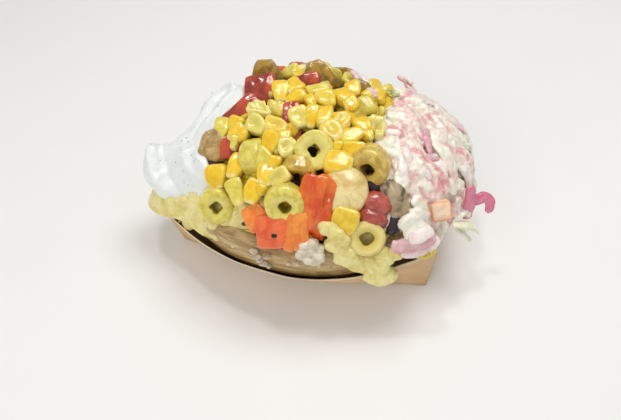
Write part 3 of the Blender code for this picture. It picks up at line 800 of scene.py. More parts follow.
@dataclass(frozen=True)
class Scatter:
    """Small pieces strewn over a ground by a geometry node tree with a fixed seed."""

    density: float                  # pieces per square centimetre
    seed: int
    smallest: float = 0.8
    largest: float = 1.2
    lean: float = 0.5               # radians
    sink: float = 0.0               # millimetres

    def tree(self) -> bpy.types.NodeTree:
        """The node tree, with named inputs for its sizes."""
        tree = bpy.data.node_groups.new("strewn_pieces", "GeometryNodeTree")
        face = tree.interface
        for name, kind in (("Geometry", "Geometry"), ("Density", "Float"), ("Seed", "Int"),
                           ("Smallest", "Float"), ("Largest", "Float"), ("Lean", "Float"),
                           ("Sink", "Float"), ("Pieces", "Collection"), ("Finish", "Material")):
            face.new_socket(name=name, in_out="INPUT", socket_type="NodeSocket" + kind)
        face.new_socket(name="Geometry", in_out="OUTPUT", socket_type="NodeSocketGeometry")

        def node(kind: str, settings: dict[str, Any], inputs: dict[int | str, Any]) -> Any:
            """Adds a node with its options and its inputs' values or links."""
            made = tree.nodes.new(kind)
            for key, value in settings.items():
                setattr(made, key, value)
            for key, value in inputs.items():
                if isinstance(value, bpy.types.NodeSocket):
                    tree.links.new(value, made.inputs[key])
                else:
                    made.inputs[key].default_value = value
            return made.outputs

        given = tree.nodes.new("NodeGroupInput").outputs
        spots = node("GeometryNodeDistributePointsOnFaces", {"distribute_method": "RANDOM"},
                     {"Mesh": given["Geometry"], "Density": given["Density"],
                      "Seed": given["Seed"]})
        back = node("ShaderNodeVectorMath", {"operation": "SCALE"},
                    {0: spots["Normal"], "Scale": given["Sink"]})
        moved = node("GeometryNodeSetPosition", {}, {"Geometry": spots["Points"],
                                                     "Offset": back[0]})
        low = node("ShaderNodeMath", {"operation": "MULTIPLY"}, {0: given["Lean"], 1: -1.0})
        lows = node("ShaderNodeCombineXYZ", {}, {0: low[0], 1: low[0], 2: 0.0})
        highs = node("ShaderNodeCombineXYZ", {}, {0: given["Lean"], 1: given["Lean"],
                                                  2: 2 * math.pi})
        spin = node("FunctionNodeRandomValue", {"data_type": "FLOAT_VECTOR"},
                    {0: lows[0], 1: highs[0], "Seed": given["Seed"]})
        turn = node("FunctionNodeRotateRotation", {"rotation_space": "LOCAL"},
                    {"Rotation": spots["Rotation"], "Rotate By": spin[0]})
        size = node("FunctionNodeRandomValue", {"data_type": "FLOAT"},
                    {2: given["Smallest"], 3: given["Largest"], "Seed": given["Seed"]})
        kinds = node("GeometryNodeCollectionInfo", {},
                     {0: given["Pieces"], "Separate Children": True, "Reset Children": True})
        strewn = node("GeometryNodeInstanceOnPoints", {},
                      {"Points": moved[0], "Instance": kinds[0], "Pick Instance": True,
                       "Rotation": turn[0], "Scale": size[1]})
        tone = node("FunctionNodeRandomValue", {"data_type": "FLOAT"},
                    {2: 0.0, 3: 1.0, "Seed": 7})
        toned = node("GeometryNodeStoreNamedAttribute", {"data_type": "FLOAT",
                                                         "domain": "INSTANCE"},
                     {0: strewn[0], "Name": "tone", "Value": tone[1]})
        real = node("GeometryNodeRealizeInstances", {}, {0: toned[0]})
        dressed = node("GeometryNodeSetMaterial", {}, {0: real[0], "Material": given["Finish"]})
        tree.links.new(dressed[0], tree.nodes.new("NodeGroupOutput").inputs[0])
        return tree

    def over(self, ground: Form, kinds: Sequence[Form], finish: bpy.types.Material) -> Form:
        """Strews pieces over a ground.

        Args:
            ground: the surface, in millimetres.
            kinds: the pieces to choose from, each about its own origin.
            finish: their material.

        Returns:
            All the pieces as one form, each with its own "tone" from 0 to 1.
        """
        scene = bpy.context.scene.collection
        box = bpy.data.collections.new("kinds")
        scene.children.link(box)
        helpers = []
        for index, kind in enumerate(kinds):
            helpers.append(bpy.data.objects.new(f"kind_{index}", kind.mesh("kind", MM)))
            box.objects.link(helpers[-1])
        base = bpy.data.objects.new("ground", ground.mesh("ground", MM))
        scene.objects.link(base)
        strewn = base.modifiers.new("strewn", "NODES")
        tree = self.tree()
        strewn.node_group = tree
        values = {"Density": self.density * 1e4, "Seed": self.seed, "Smallest": self.smallest,
                  "Largest": self.largest, "Lean": self.lean, "Sink": -self.sink * MM,
                  "Pieces": box, "Finish": finish}
        for socket in tree.interface.items_tree:
            if socket.in_out == "INPUT" and socket.name in values:
                strewn[socket.identifier] = values[socket.name]
        bpy.context.view_layer.update()
        mesh = bpy.data.meshes.new_from_object(base.evaluated_get(
            bpy.context.evaluated_depsgraph_get()))
        form = Form.of_mesh(mesh, 1 / MM)
        base.modifiers.clear()
        for helper in [base, *helpers]:
            bpy.data.objects.remove(helper)
        bpy.data.collections.remove(box)
        bpy.data.node_groups.remove(tree)
        bpy.data.meshes.remove(mesh)
        return form


# ---------------------------------------------------------------- soft masses

def lumps(x: np.ndarray, y: np.ndarray, z: float, cell: float, seed: float = 0.0) -> np.ndarray:
    """The same uneven relief that the solids have."""
    x, y = np.broadcast_arrays(np.asarray(x, dtype=float), np.asarray(y, dtype=float))
    found = [noise.noise(Vector((a / cell + seed, b / cell - seed, z / cell + 2 * seed)))
             for a, b in zip(x.ravel(), y.ravel())]
    return np.array(found).reshape(x.shape)


def oval(angle: np.ndarray, left: float, right: float, front: float, back: float) -> np.ndarray:
    """Radius of an oval with four unlike half sizes."""
    along = np.where(np.cos(angle) > 0, right, left)
    across = np.where(np.sin(angle) > 0, back, front)
    return 1 / np.hypot(np.cos(angle) / along, np.sin(angle) / across)


@dataclass(frozen=True)
class Mass:
    """A soft closed mass over an outline seen from above, with its own top and underside."""

    centre: Flat
    reach: Callable[[np.ndarray], np.ndarray]
    top: Callable[[np.ndarray, np.ndarray], np.ndarray]
    floor: float
    low_edge: float
    side: float
    fall: float = 3.0

    def edge(self, angle: np.ndarray) -> np.ndarray:
        """Height of its edge in a direction."""
        x = self.centre[0] + self.reach(angle) * np.cos(angle)
        y = self.centre[1] + self.reach(angle) * np.sin(angle)
        return np.maximum(LOAD.height(x, y) - self.side, self.low_edge)

    def form(self, around: int, above: int, below: int) -> Form:
        """Its skin.

        Args:
            around: points in each ring.
            above: rings over the top.
            below: rings under it.

        Returns:
            The closed form.
        """
        angle = np.arange(around) * 2 * math.pi / around
        edge = self.edge(angle)
        rows = []
        for step in range(1, above + below):
            over = step <= above
            share = math.sin(math.pi / 2 * (step / above if over else
                                            (above + below - step) / below))
            x = self.centre[0] + self.reach(angle) * share * np.cos(angle)
            y = self.centre[1] + self.reach(angle) * share * np.sin(angle)
            if over:
                body = math.sqrt(max(1 - share ** self.fall, 0.0))
                z = edge + (np.maximum(self.top(x, y), self.floor + 3) - edge) * body
            else:
                z = self.floor + (edge - self.floor) * share ** 4
            rows.append(np.stack([x, y, z], 1))
        top = float(self.top(*self.centre))
        return stacked(rows, (*self.centre, top), (*self.centre, self.floor))


def outline(points: Sequence[Flat], centre: Flat) -> Callable[[np.ndarray], np.ndarray]:
    """Radius in a direction from a centre to a smooth line through points round it."""
    line = curve_through([(*point, 0.0) for point in points], 12, True)
    angles = np.arctan2(line[:, 1] - centre[1], line[:, 0] - centre[0])
    radii = np.hypot(line[:, 1] - centre[1], line[:, 0] - centre[0])
    order = np.argsort(angles)
    return lambda angle: np.interp(angle, angles[order], radii[order], period=2 * math.pi)


def ridge(x: np.ndarray, y: np.ndarray, line: Sequence[Flat], width: float) -> np.ndarray:
    """A soft rise of height 1 along a line seen from above, fading at its two ends."""
    path = curve_through([(*point, 0.0) for point in line], 24, False)[:, :2]
    best = np.full(np.shape(x), 1e9)
    fade = np.zeros(np.shape(x))
    for index, (px, py) in enumerate(path):
        far = np.hypot(x - px, y - py)
        t = index / (len(path) - 1)
        fade = np.where(far < best, min(1.0, 4 * t, 4 * (1 - t)), fade)
        best = np.minimum(best, far)
    return np.exp(-(best / width) ** 2) * fade


def fold(x: np.ndarray, y: np.ndarray, line: Sequence[Flat], tail: float) -> np.ndarray:
    """A sheet's edge along a line: height 1 there, steep on its right and easy on its left."""
    path = curve_through([(*point, 0.0) for point in line], 24, False)[:, :2]
    along = np.gradient(path, axis=0)
    best = np.full(np.shape(x), 1e9)
    side, fade = np.zeros(np.shape(x)), np.zeros(np.shape(x))
    for index, ((px, py), (ax, ay)) in enumerate(zip(path, along)):
        far = np.hypot(x - px, y - py)
        near = far < best
        t = index / (len(path) - 1)
        fade = np.where(near, min(1.0, 5 * t, 5 * (1 - t)), fade)
        side = np.where(near, ax * (y - py) - ay * (x - px), side)
        best = np.minimum(best, far)
    return fade * np.where(side > 0, np.exp(-best / tail), np.exp(-(best / 1.5) ** 2))


# ---------------------------------------------------------------- tray, skin and flesh

@dataclass(frozen=True)
class PaperTray:
    """Folded kraft tray, whose walls the load has pushed out."""

    card: float = 0.7
    rim: float = 36.0
    base: tuple[Flat, ...] = ((-69, -37), (78.5, -35), (78.5, 36), (-69, 37))
    lip: tuple[Flat, ...] = ((-79.5, -39), (81, -36), (81, 37), (-79.5, 38))
    bow: float = 6.0
    front: float = 37.0
    back: float = 28.0
    end: float = 2.5
    middle: float = 6.0
    steps: tuple[int, ...] = (64, 20, 64, 20)

    def wall(self, side: int, along: float, rise: float) -> Point:
        """A point on the outside: along 0 to 1 on one of four sides, rise 0 to 1."""
        after = (side + 1) % 4
        start = Vector(self.base[side]).lerp(Vector(self.lip[side]), rise)
        end = Vector(self.base[after]).lerp(Vector(self.lip[after]), rise)
        spot = start.lerp(end, along)
        if side in (0, 2):
            ends = sorted((start.x, end.x))
            reach = ends[0 if spot.x < self.middle else 1] - self.middle
            across = min((spot.x - self.middle) / reach, 1.0)
            bulge = self.front if side == 0 else self.back
            out = (1 - across * across) ** 0.9 * (self.bow + (bulge - self.bow) * rise ** 0.7)
            spot.y += -out if side == 0 else out
        else:
            out = (1 - (2 * along - 1) ** 2) * rise * self.end
            spot.x += out if side == 1 else -out
        return (spot.x, spot.y, self.rim * rise)

    def row(self, rise: float, inset: float) -> np.ndarray:
        """All the points at one height, moved in from the outside by the inset."""
        points = np.array([self.wall(side, i / count, rise)
                           for side, count in enumerate(self.steps) for i in range(count)])
        along = np.roll(points, -1, axis=0) - np.roll(points, 1, axis=0)
        normal = np.stack([along[:, 1], -along[:, 0]], 1)
        normal /= np.linalg.norm(normal, axis=1)[:, None]
        points[:, :2] -= normal * inset
        dents = lumps(points[:, 0], points[:, 1], 30 * rise, 24, 3.0) * 0.8 * rise
        points[:, :2] += normal * dents[:, None]
        if rise == 1:
            points[:, 2] += lumps(points[:, 0], points[:, 1], 0, 16, 6.0) * 0.7
        return points

    def build(self) -> None:
        """Adds the tray."""
        rises = [step / 14 for step in range(15)]
        ground = [self.row(0.0, 0.0) * (share, share, 1) for share in (0.3, 0.6, 0.85, 0.97)]
        inner = [row + (0, 0, self.card) for row in ground]
        rows = ground + [self.row(rise, 0.0) for rise in rises]
        rows += [self.row(rise, self.card) + (0, 0, self.card if rise == 0 else 0)
                 for rise in reversed(rises)] + inner[::-1]
        form = stacked(rows, (0, 0, 0), (0, 0, self.card))
        around = sum(self.steps)
        edge = np.zeros(len(form.points))
        lip = (len(ground) + len(rises) - 1) * around
        edge[lip:lip + 2 * around] = 1.0
        form = form.marked(edge=edge).roughened(Rough((30, 30, 50), 0.35, 2.0), share=1 - edge)
        form.points[:, 2] = np.maximum(form.points[:, 2], 0.0)
        lay("paper_tray", form, Kraft().build(), "kraft_paper", "tray")


@dataclass(frozen=True)
class Jacket:
    """The potato's baked skin with a layer of flesh, and the mash that fills it."""

    centre: Flat = (2.0, -5.0)
    half_length: float = 75.0
    half_width: float = 67.0
    waist: float = 40.0
    depth: float = 39.6
    rest: float = 1.05
    spill_left: tuple[Point, ...] = (
        (-75, -42, 40), (-68, -46, 43), (-61, -49, 46), (-56, -50, 48), (-49, -53, 51),
        (-44, -57, 52), (-65, -49, 40), (-58, -52, 43), (-51, -55, 45), (-45, -58, 46),
        (-54, -55, 39), (-54, -56, 37), (-40, -60, 48), (-35, -62, 49), (-28, -55, 58),
        (-23, -54, 60), (-18, -57, 62), (-25, -57, 54), (-20, -59, 56), (-16, -58, 60),
        (-27, -58, 50), (-22, -60, 51), (-17, -60, 54), (-12, -59, 62), (-9, -58, 66))
    spill_right: tuple[Point, ...] = (
        (27, -65, 66), (32, -66, 64), (35, -66, 61), (31, -67, 58), (37, -67, 54), (41, -66, 50),
        (46, -65, 46), (39, -68, 49), (35, -68, 51), (50, -64, 47), (54, -64, 45), (57, -61, 49),
        (61, -59, 51), (53, -66, 42), (56, -66.5, 38),
        (59, -65, 39), (51, -67, 38), (54, -60, 52))

    def radius(self, angle: np.ndarray) -> np.ndarray:
        """Half width at its waist in a direction."""
        uneven = 1 + 0.018 * lumps(2 * np.cos(angle), 2 * np.sin(angle), 0, 1.3, 4.0)
        return np.hypot(self.half_length * np.cos(angle), self.half_width * np.sin(angle)) * uneven

    def skin(self) -> None:
        """Adds the skin: a bowl drawn out to an oval, with a soft rolled rim."""
        outside = []
        for step in range(1, 37):
            turn = math.radians(90) * step / 36
            height = self.waist - self.depth * math.cos(turn) ** (2 / 1.8)
            outside.append((math.sin(turn) ** (2 / 1.8), max(height, self.rest)))
        lip = curve_through([(1, 40, 0), (0.985, 45.5, 0), (0.945, 50, 0), (0.905, 51.2, 0),
                             (0.87, 49, 0), (0.85, 42, 0)], 4, False)[1:, :2]
        inside = [(0.80, 34.0), (0.70, 22.0), (0.45, 14.0), (0.2, 11.0)]
        angle = np.arange(240) * 2 * math.pi / 240
        lift = 2.2 * lumps(3 * np.cos(angle), 3 * np.sin(angle), 0, 1.2, 9.0)
        rows, marks = [], []
        for radius, height in [*outside, *map(tuple, lip), *inside]:
            reach = self.radius(angle) * radius
            rows.append(np.stack([self.centre[0] + reach * np.cos(angle),
                                  self.centre[1] + reach * np.sin(angle),
                                  height + lift * smooth(34, 50, height)], 1))
            marks.append(smooth(0.93, 0.88, radius) if height > 45 else 0.0)
        form = stacked(rows, (*self.centre, self.rest), (*self.centre, 10.5))
        cut = np.concatenate([np.repeat(marks, len(angle)), [0, 0]])
        cut[len(outside) * len(angle) + len(lip) * len(angle):-2] = 1.0
        above = smooth(3, 12, form.points[:, 2])
        form = form.marked(cut=cut).roughened(
            Rough((26, 26, 9), 0.7, 4.0), Rough((9, 9, 5), 0.35, 1.0),
            Rough((14, 14, 2.6), 0.22, 8.0, True), share=above)
        lay("baked_skin", form, Skin().build(), "potato_skin", "potato_jacket")

    def flesh(self) -> None:
        """Adds the mash, and the lumps of it that hang over the rim."""
        angle = np.arange(260) * 2 * math.pi / 260
        turn = (np.degrees(angle) + 180) % 360 - 180
        far_left = 0.365 * np.exp(-((turn + 158) / 16) ** 2)
        others = 0.13 * np.exp(-((turn + 128) / 18) ** 2) + 0.185 * np.exp(-((turn + 49) / 15) ** 2)
        rows = []
        for step in range(1, 90):
            upper = step <= 70
            reach = math.sin(math.pi / 2 * (step / 70 if upper else (90 - step) / 20))
            radius = self.radius(angle) * (0.895 + far_left + others) * reach
            x = self.centre[0] + radius * np.cos(angle)
            y = self.centre[1] + radius * np.sin(angle)
            rim = 49.0 - 46 * far_left - 60 * others + 1.5 * lumps(x, y, 0, 9, 2.0)
            if upper:
                z = rim + (self.mash_top(x, y) - rim) * (1 - smooth(0.86, 1, reach)) ** 0.6
            else:
                z = 12 + (rim - 12) * reach ** 3.2
            rows.append(np.stack([x, y, z], 1))
        top = float(self.mash_top(np.array(self.centre[0]), np.array(self.centre[1])))
        form = stacked(rows, (*self.centre, top), (*self.centre, 12.0))
        form = form.roughened(Rough(8.0, 1.6, 1.0), Rough(3.4, 0.8, 5.0), Rough(1.6, 0.3, 2.0),
                              share=smooth(34, 42, form.points[:, 2]))
        finish = Mashed().build()
        lay("mashed_flesh", form, finish, "mashed_potato", "mash")
        for name, spots in (("mash_over_left_rim", self.spill_left),
                            ("mash_over_right_rim", self.spill_right)):
            lay(name, self.clump(spots, 3.7), finish, "mashed_potato")

    @staticmethod
    def mash_top(x: np.ndarray, y: np.ndarray) -> np.ndarray:
        """Height of the mash under the toppings."""
        u = (x - 2) / 80
        v = (y - 4) / np.where(y < 4, 72, 62)
        dome = 19 * np.sqrt(np.maximum(1 - u * u - v * v, 0.0))
        return 51 + dome + 22 * hump(x, y, (-10, 33), 24, 13) + 1.2 * lumps(x, y, 0, 15)

    @staticmethod
    def clump(spots: Sequence[Point], size: float) -> Form:
        """Lumps of mash run together, with their outer faces at the given spots."""
        balls = []
        for index, spot in enumerate(spots):
            inward = Vector((-0.35 * spot[0] / 80, 0.85, -0.35)).normalized()
            big = size * (1 + 0.22 * math.sin(5.1 * index))
            ball = block(8, 2.2)
            ball.points *= (big * 1.3, big, big * 1.1)
            balls.append(ball.placed(Matrix.Rotation(0.5 * math.sin(index), 3, "Z"),
                                     Vector(spot) + inward * big * 0.95))
        return melted(balls, 0.7, 6).roughened(
            Rough((6, 6, 9), 0.9, 3.0), Rough((2.6, 2.6, 5.0), 0.4, 7.0, True), Rough(1.4, 0.25, 9.0))


# ---------------------------------------------------------------- yoghurt and slaw

@dataclass(frozen=True)
class Lobe:
    """Herbed yoghurt: a folded lobe over the left end and a smear that rises from it."""

    centre: Flat = (-59.0, -24.0)
    line: tuple[Flat, ...] = (
        (-37, -50), (-45, -50), (-53, -47), (-60, -48), (-66, -46), (-71, -46), (-76, -43),
        (-82, -39), (-86, -35), (-90, -28), (-91, -22), (-89, -17), (-84, -19), (-79, -18),
        (-73, -15), (-68, -14), (-63.5, -8), (-61.5, -2), (-61, 4), (-63, 10), (-64.5, 15),
        (-57, 15), (-52, 18), (-46, 17), (-41, 16), (-36, 10), (-35, 0), (-39, -8), (-41.5, -14),
        (-44, -19), (-48, -23), (-51, -27), (-49, -33), (-43, -38), (-39, -44))
    ridges: tuple[tuple[float, float, tuple[Flat, ...]], ...] = (
        (1.5, 2.8, ((-62, -12), (-57, -2), (-54, 14))), (-1.3, 1.2, ((-57, -14), (-52, -2), (-47, 14))),
        (1.2, 1.6, ((-54, -16), (-48, -6), (-42, 10))), (-1.8, 1.3, ((-70, -24), (-60, -22), (-55, -8))),
        (9.0, 2.4, ((-67, 18), (-64, 14.5), (-59, 13))), (4.0, 2.0, ((-57, 14), (-50, 13), (-43, 8))),
        (-1.6, 1.4, ((-90, -10), (-81, -23), (-76, -32), (-74, -40))),
        (2.2, 3.6, ((-86, -30), (-81, -38), (-77, -43))))
    folds: tuple[tuple[float, float, tuple[Flat, ...]], ...] = (
        (5.0, 6.0, ((-56, -27), (-62, -33), (-68, -34), (-72, -37), (-74, -44))),
        (4.2, 7.0, ((-53, -30), (-49, -38), (-43, -44), (-36, -50))),
        (3.6, 4.0, ((-62, -33), (-55, -40), (-48, -45), (-39, -49))),
        (3.2, 5.0, ((-90, -17), (-85, -28), (-79, -38), (-73, -45))))

    def top(self, x: np.ndarray, y: np.ndarray) -> np.ndarray:
        """Height of its upper face."""
        height = LOAD.height(x, y) + 0.4 + 13.0 * hump(x, y, (-84, -23), 13, 14)
        height = height - 3.0 * hump(x, y, (-74, -17), 7, 5)
        for rise, width, line in self.ridges:
            height = height + rise * ridge(x, y, line, width)
        for rise, tail, line in self.folds:
            height = height + rise * fold(x, y, line, tail)
        return height

    def build(self) -> None:
        """Adds the yoghurt."""
        mass = Mass(self.centre, outline(self.line, self.centre), self.top, 50.0, 44.0, 5.0, 9.0)
        form = melted([mass.form(320, 110, 14)], 0.5, 1).roughened(
            Rough(11.0, 1.3, 2.0), Rough(5.0, 0.45, 5.0), Rough(2.6, 0.14, 8.0))
        lay("yoghurt_lobe", form, Yoghurt().build(), "yoghurt", "yoghurt")


@dataclass(frozen=True)
class Shred:
    """One shred of cabbage: the line of its middle, its width and thickness."""

    line: tuple[Point, ...]
    width: float
    thickness: float = 2.2
    tone: float = 0.5
    twist: float = 0.0
    cup: float = 0.3
    out: Point | None = None    # the way its flat side faces, if not off the load


@dataclass(frozen=True)
class Slaw:
    """Cabbage in cream dressing over the right end: a wet mass, loose shreds and longer ones."""

    centre: Flat = (66.0, -2.0)
    strip_2: tuple[Shred, ...] = (
        Shred(((16.8, 33, 90), (21.4, 27, 89.9), (26.5, 21.2, 90.3), (34.8, 11.9, 90)), 5.0),
        Shred(((22, 29, 91), (25, 24, 92), (29, 22, 91)), 3.4, 2.0, 0.0))
    strip_1: tuple[Shred, ...] = (
        Shred(((41.1, 42, 84.2), (46.2, 40, 83), (51.4, 34, 81.5), (56.6, 21.7, 82)), 6.5, 3.0),
        Shred(((44, 41, 84), (48, 38, 86), (51, 36, 84)), 3.4, 2.0, 0.1))
    leaf: tuple[Shred, ...] = (
        Shred(((57.2, -58, 56.8), (63.3, -56, 56.2), (70.5, -53, 58.0), (77.4, -48, 59.5)), 8.0,
              2.0, 0.7, 0.0, 0.3, (0.1, -0.6, 0.8)),
        Shred(((61.0, -57, 52.0), (66.7, -56, 52.6), (72.8, -53, 54.8), (79.6, -47, 56.7)), 7.0,
              2.0, 0.3, 0.0, 0.3, (0.1, -0.6, 0.8)),
        Shred(((64.7, -56, 61.3), (69.9, -54, 63.5), (75.8, -48, 63.6)), 7.0, 2.0, 0.1, 0.0, 0.3,
              (0.1, -0.6, 0.8)))
    foot: tuple[Shred, ...] = (
        Shred(((60.4, -50, 61.3), (63.5, -49, 66.3), (67.7, -47, 65.3), (72.5, -44, 59.6)), 9.0,
              5.0, 0.0),
        Shred(((62.4, -52, 58.9), (66.2, -51, 62.7), (71.1, -48, 59.2), (75.3, -45, 54.6)), 8.0,
              5.0, 0.0),
        Shred(((63.5, -46, 67.3), (67.0, -45, 68.7), (71.5, -42, 64.5)), 7.0, 5.0, 0.1))
    hook: tuple[Shred, ...] = (
        Shred(((90.6, -15, 64.4), (92.0, -16, 53.0), (93.0, -17, 40.9)), 6.5, 1.8, 1.0, 0.0, 0.0, (0.35, -0.75, 0.5)),
        Shred(((91.9, -15, 51.9), (95.9, -11, 51.2), (99.9, -8, 51.1), (103.0, -9, 49.0), (103.2, -12, 44.0)),
              6.0, 1.8, 1.0, 0.0, 0.0, (0.25, -0.7, 0.6)))
    tail: tuple[Shred, ...] = (
        Shred(((85.2, -28, 46.8), (91.4, -24, 44.5), (97.1, -21, 40.8), (100.6, -20, 35.7)), 6.0, 1.8, 0.0, 0.2, 0.3),
        Shred(((87.0, -27, 44.6), (92.6, -25, 38.3), (97.1, -24, 33.4)), 4.6, 1.8, 0.0, 0.2, 0.2))
    shreds: tuple[Shred, ...] = (
        Shred(((49.5, 12, 88), (55, 5.6, 86.2), (59, 0.5, 84.2), (63.5, -7.3, 81)), 6.5, 2.0, 0.8),
        Shred(((61.2, 7.9, 83), (63.9, -3, 81.6), (67.6, -11.9, 77.6)), 5.0, 2.0, 0.9),
        Shred(((49.8, -8.6, 86.4), (56.9, -12.9, 83.4), (65.8, -17.1, 77.8)), 7.5, 2.6, 0.0),
        Shred(((63, 22, 79), (68, 22, 78), (73, 23, 74)), 5.0, 2.6, 0.2),
        Shred(((59.7, -26.9, 77), (63.7, -20.2, 77.5), (68.8, -12.3, 77), (75.3, -10.6, 72)),
              4.6, 2.2, 0.8),
        Shred(((69.2, -25.7, 71.5), (72.7, -30.1, 65.5), (72.1, -33.5, 62.3)), 4.4, 2.2, 0.9),
        Shred(((81.1, -23.9, 58), (84.8, -21.1, 50), (82, -30.5, 45)), 4.6, 2.0, 0.9),
        Shred(((80.1, 1.2, 71), (89.6, 6, 60), (91, -3.6, 54)), 5.0, 2.0, 0.3),
        Shred(((53.8, -18.7, 82.6), (56, -28, 79.6), (57.5, -34.5, 75)), 6.0, 3.0, 0.0),
        Shred(((64, -37, 68), (68, -38, 64), (72, -37, 60)), 5.0, 3.0, 0.1))

    def top(self, x: np.ndarray, y: np.ndarray) -> np.ndarray:
        """Height of the wet mass."""
        return LOAD.height(x, y) + 0.4 + 2.2 * lumps(x, y, 0, 9, 5.0)

    def reach(self, angle: np.ndarray) -> np.ndarray:
        """Its ragged outline."""
        ragged = 1 + 0.06 * np.sin(9 * angle) + 0.05 * np.sin(14 * angle + 2)
        turn = (angle + math.pi) % (2 * math.pi) - math.pi
        tucked = 1 - 0.2 * np.exp(-((turn + 0.95) / 0.5) ** 2)
        return oval(angle, 27, 29, 50, 50) * ragged * tucked

    @staticmethod
    def strands(shreds: Sequence[Shred]) -> Form:
        """Shreds as one form, each with a slightly wavy face."""
        made = []
        for index, shred in enumerate(shreds):
            form = ribbon(shred.line, shred.width, shred.thickness, shred.out, steps=8,
                          twist=shred.twist, cup=shred.cup)
            form = form.roughened(Rough(3.4, 0.7, index), Rough(1.6, 0.2, index))
            made.append(form.marked(tone=shred.tone))
        return together(made)

    def bears(self, x: float, y: float) -> bool:
        """Whether a shred may lie at a spot: on the wet mass and clear of the striped mushroom."""
        across, along = x - self.centre[0], y - self.centre[1]
        limit = 0.97 * float(self.reach(np.array(math.atan2(along, across))))
        return math.hypot(across, along) < limit and not (x < 60 and y < -30)

    def draped(self, count: int, seed: int) -> list[Shred]:
        """Shreds that lie down the slope of the heap, most of them under dressing."""
        pick = random.Random(seed)
        made: list[Shred] = []
        while len(made) < count:
            x, y = pick.uniform(38, 96), pick.uniform(-50, 48)
            if not self.bears(x, y):
                continue
            down = LOAD.out(x, y).xy
            heading = math.atan2(down.y, down.x) + pick.gauss(0, 0.6)
            length, bend = pick.uniform(11, 26), pick.gauss(0, 0.16)
            line = []
            for step in range(4):
                rise = pick.uniform(-0.7, 0.7) + (1.2 if step in (1, 2) else -0.2)
                line.append((x, y, float(self.top(np.array(x), np.array(y))) + rise))
                slope = max(float(LOAD.out(x, y).z), 0.35)
                x += length / 3 * math.cos(heading) * slope
                y += length / 3 * math.sin(heading) * slope
                heading += bend
            if not self.bears(x, y):
                continue
            pink = pick.random() < 0.30
            made.append(Shred(tuple(line), pick.uniform(4.0, 9.5), pick.uniform(1.6, 3.0),
                              pick.uniform(0.6, 1.0) if pink else 0.0,
                              pick.gauss(0, 0.5), pick.uniform(-0.5, 1.2)))
        return made

    def dressed(self, mass: Form, shreds: Sequence[Shred]) -> Form:
        """The wet mass and shreds run into one skin, marked where a stained shred lies."""
        skin = melted([mass, *[self.strands([shred]) for shred in shreds]], 0.62, 1)
        stained = [(self.strands([shred]).points, shred.tone) for shred in shreds if shred.tone]
        tree = kdtree.KDTree(sum(len(points) for points, _ in stained))
        tones = []
        for points, tone in stained:
            for point in points:
                tree.insert(point, len(tones))
                tones.append(tone)
        tree.balance()
        found = [tree.find(point) for point in skin.points]
        tone = np.array([tones[index] * max(0.0, min(1.0, (2.0 - far) / 1.2))
                         for _, index, far in found])
        return skin.marked(tone=tone, edge=0.4).roughened(
            Rough(2.4, 0.4, 4.0), Rough(1.3, 0.2, 9.0, True))

    def build(self) -> None:
        """Adds the slaw."""
        base = Mass(self.centre, self.reach, self.top, 50.0, 44.0, 5.0, 5.0)
        wet = Dressed("slaw_dressing", tint(254, 251, 234), tint(242, 236, 214),
                      tint(238, 146, 156), tint(220, 104, 128), 0.47).build()
        bare = Dressed("cabbage_strips", tint(255, 248, 240), tint(240, 222, 216),
                       tint(226, 122, 146), tint(196, 76, 108), 0.60).build()
        body = base.form(160, 50, 12).roughened(Rough(8.0, 2.6, 3.0), Rough((4, 6, 5), 1.2, 4.0))
        lay("slaw_mass", self.dressed(body, [*self.draped(105, 5), *self.foot]), wet, "slaw", "slaw")
        lay("slaw_shreds", self.strands(self.draped(16, 21)), bare, "slaw")
        lay("cabbage_strip_low", self.strands(self.strip_1), bare, "cabbage", "cabbage_strip_1")
        lay("cabbage_strip_high", self.strands(self.strip_2), bare, "cabbage", "cabbage_strip_2")
        lay("cabbage_leaf_edge", self.strands(self.leaf), bare, "cabbage", "cabbage_leaf")
        lay("cabbage_strands", self.strands(self.shreds), bare, "cabbage")
        red = Dressed("red_cabbage", tint(240, 180, 194), tint(228, 146, 168),
                      tint(224, 118, 146), tint(206, 92, 124), 0.72).build()
        pale = Dressed("pale_cabbage", tint(255, 254, 244), tint(240, 236, 200),
                       tint(226, 222, 120), tint(206, 204, 100), 0.60).build()
        lay("cabbage_hook", self.strands(self.hook), red, "cabbage")
        lay("cabbage_tail", self.strands(self.tail).marked(tone=0.2), pale, "cabbage")


# ---------------------------------------------------------------- corn

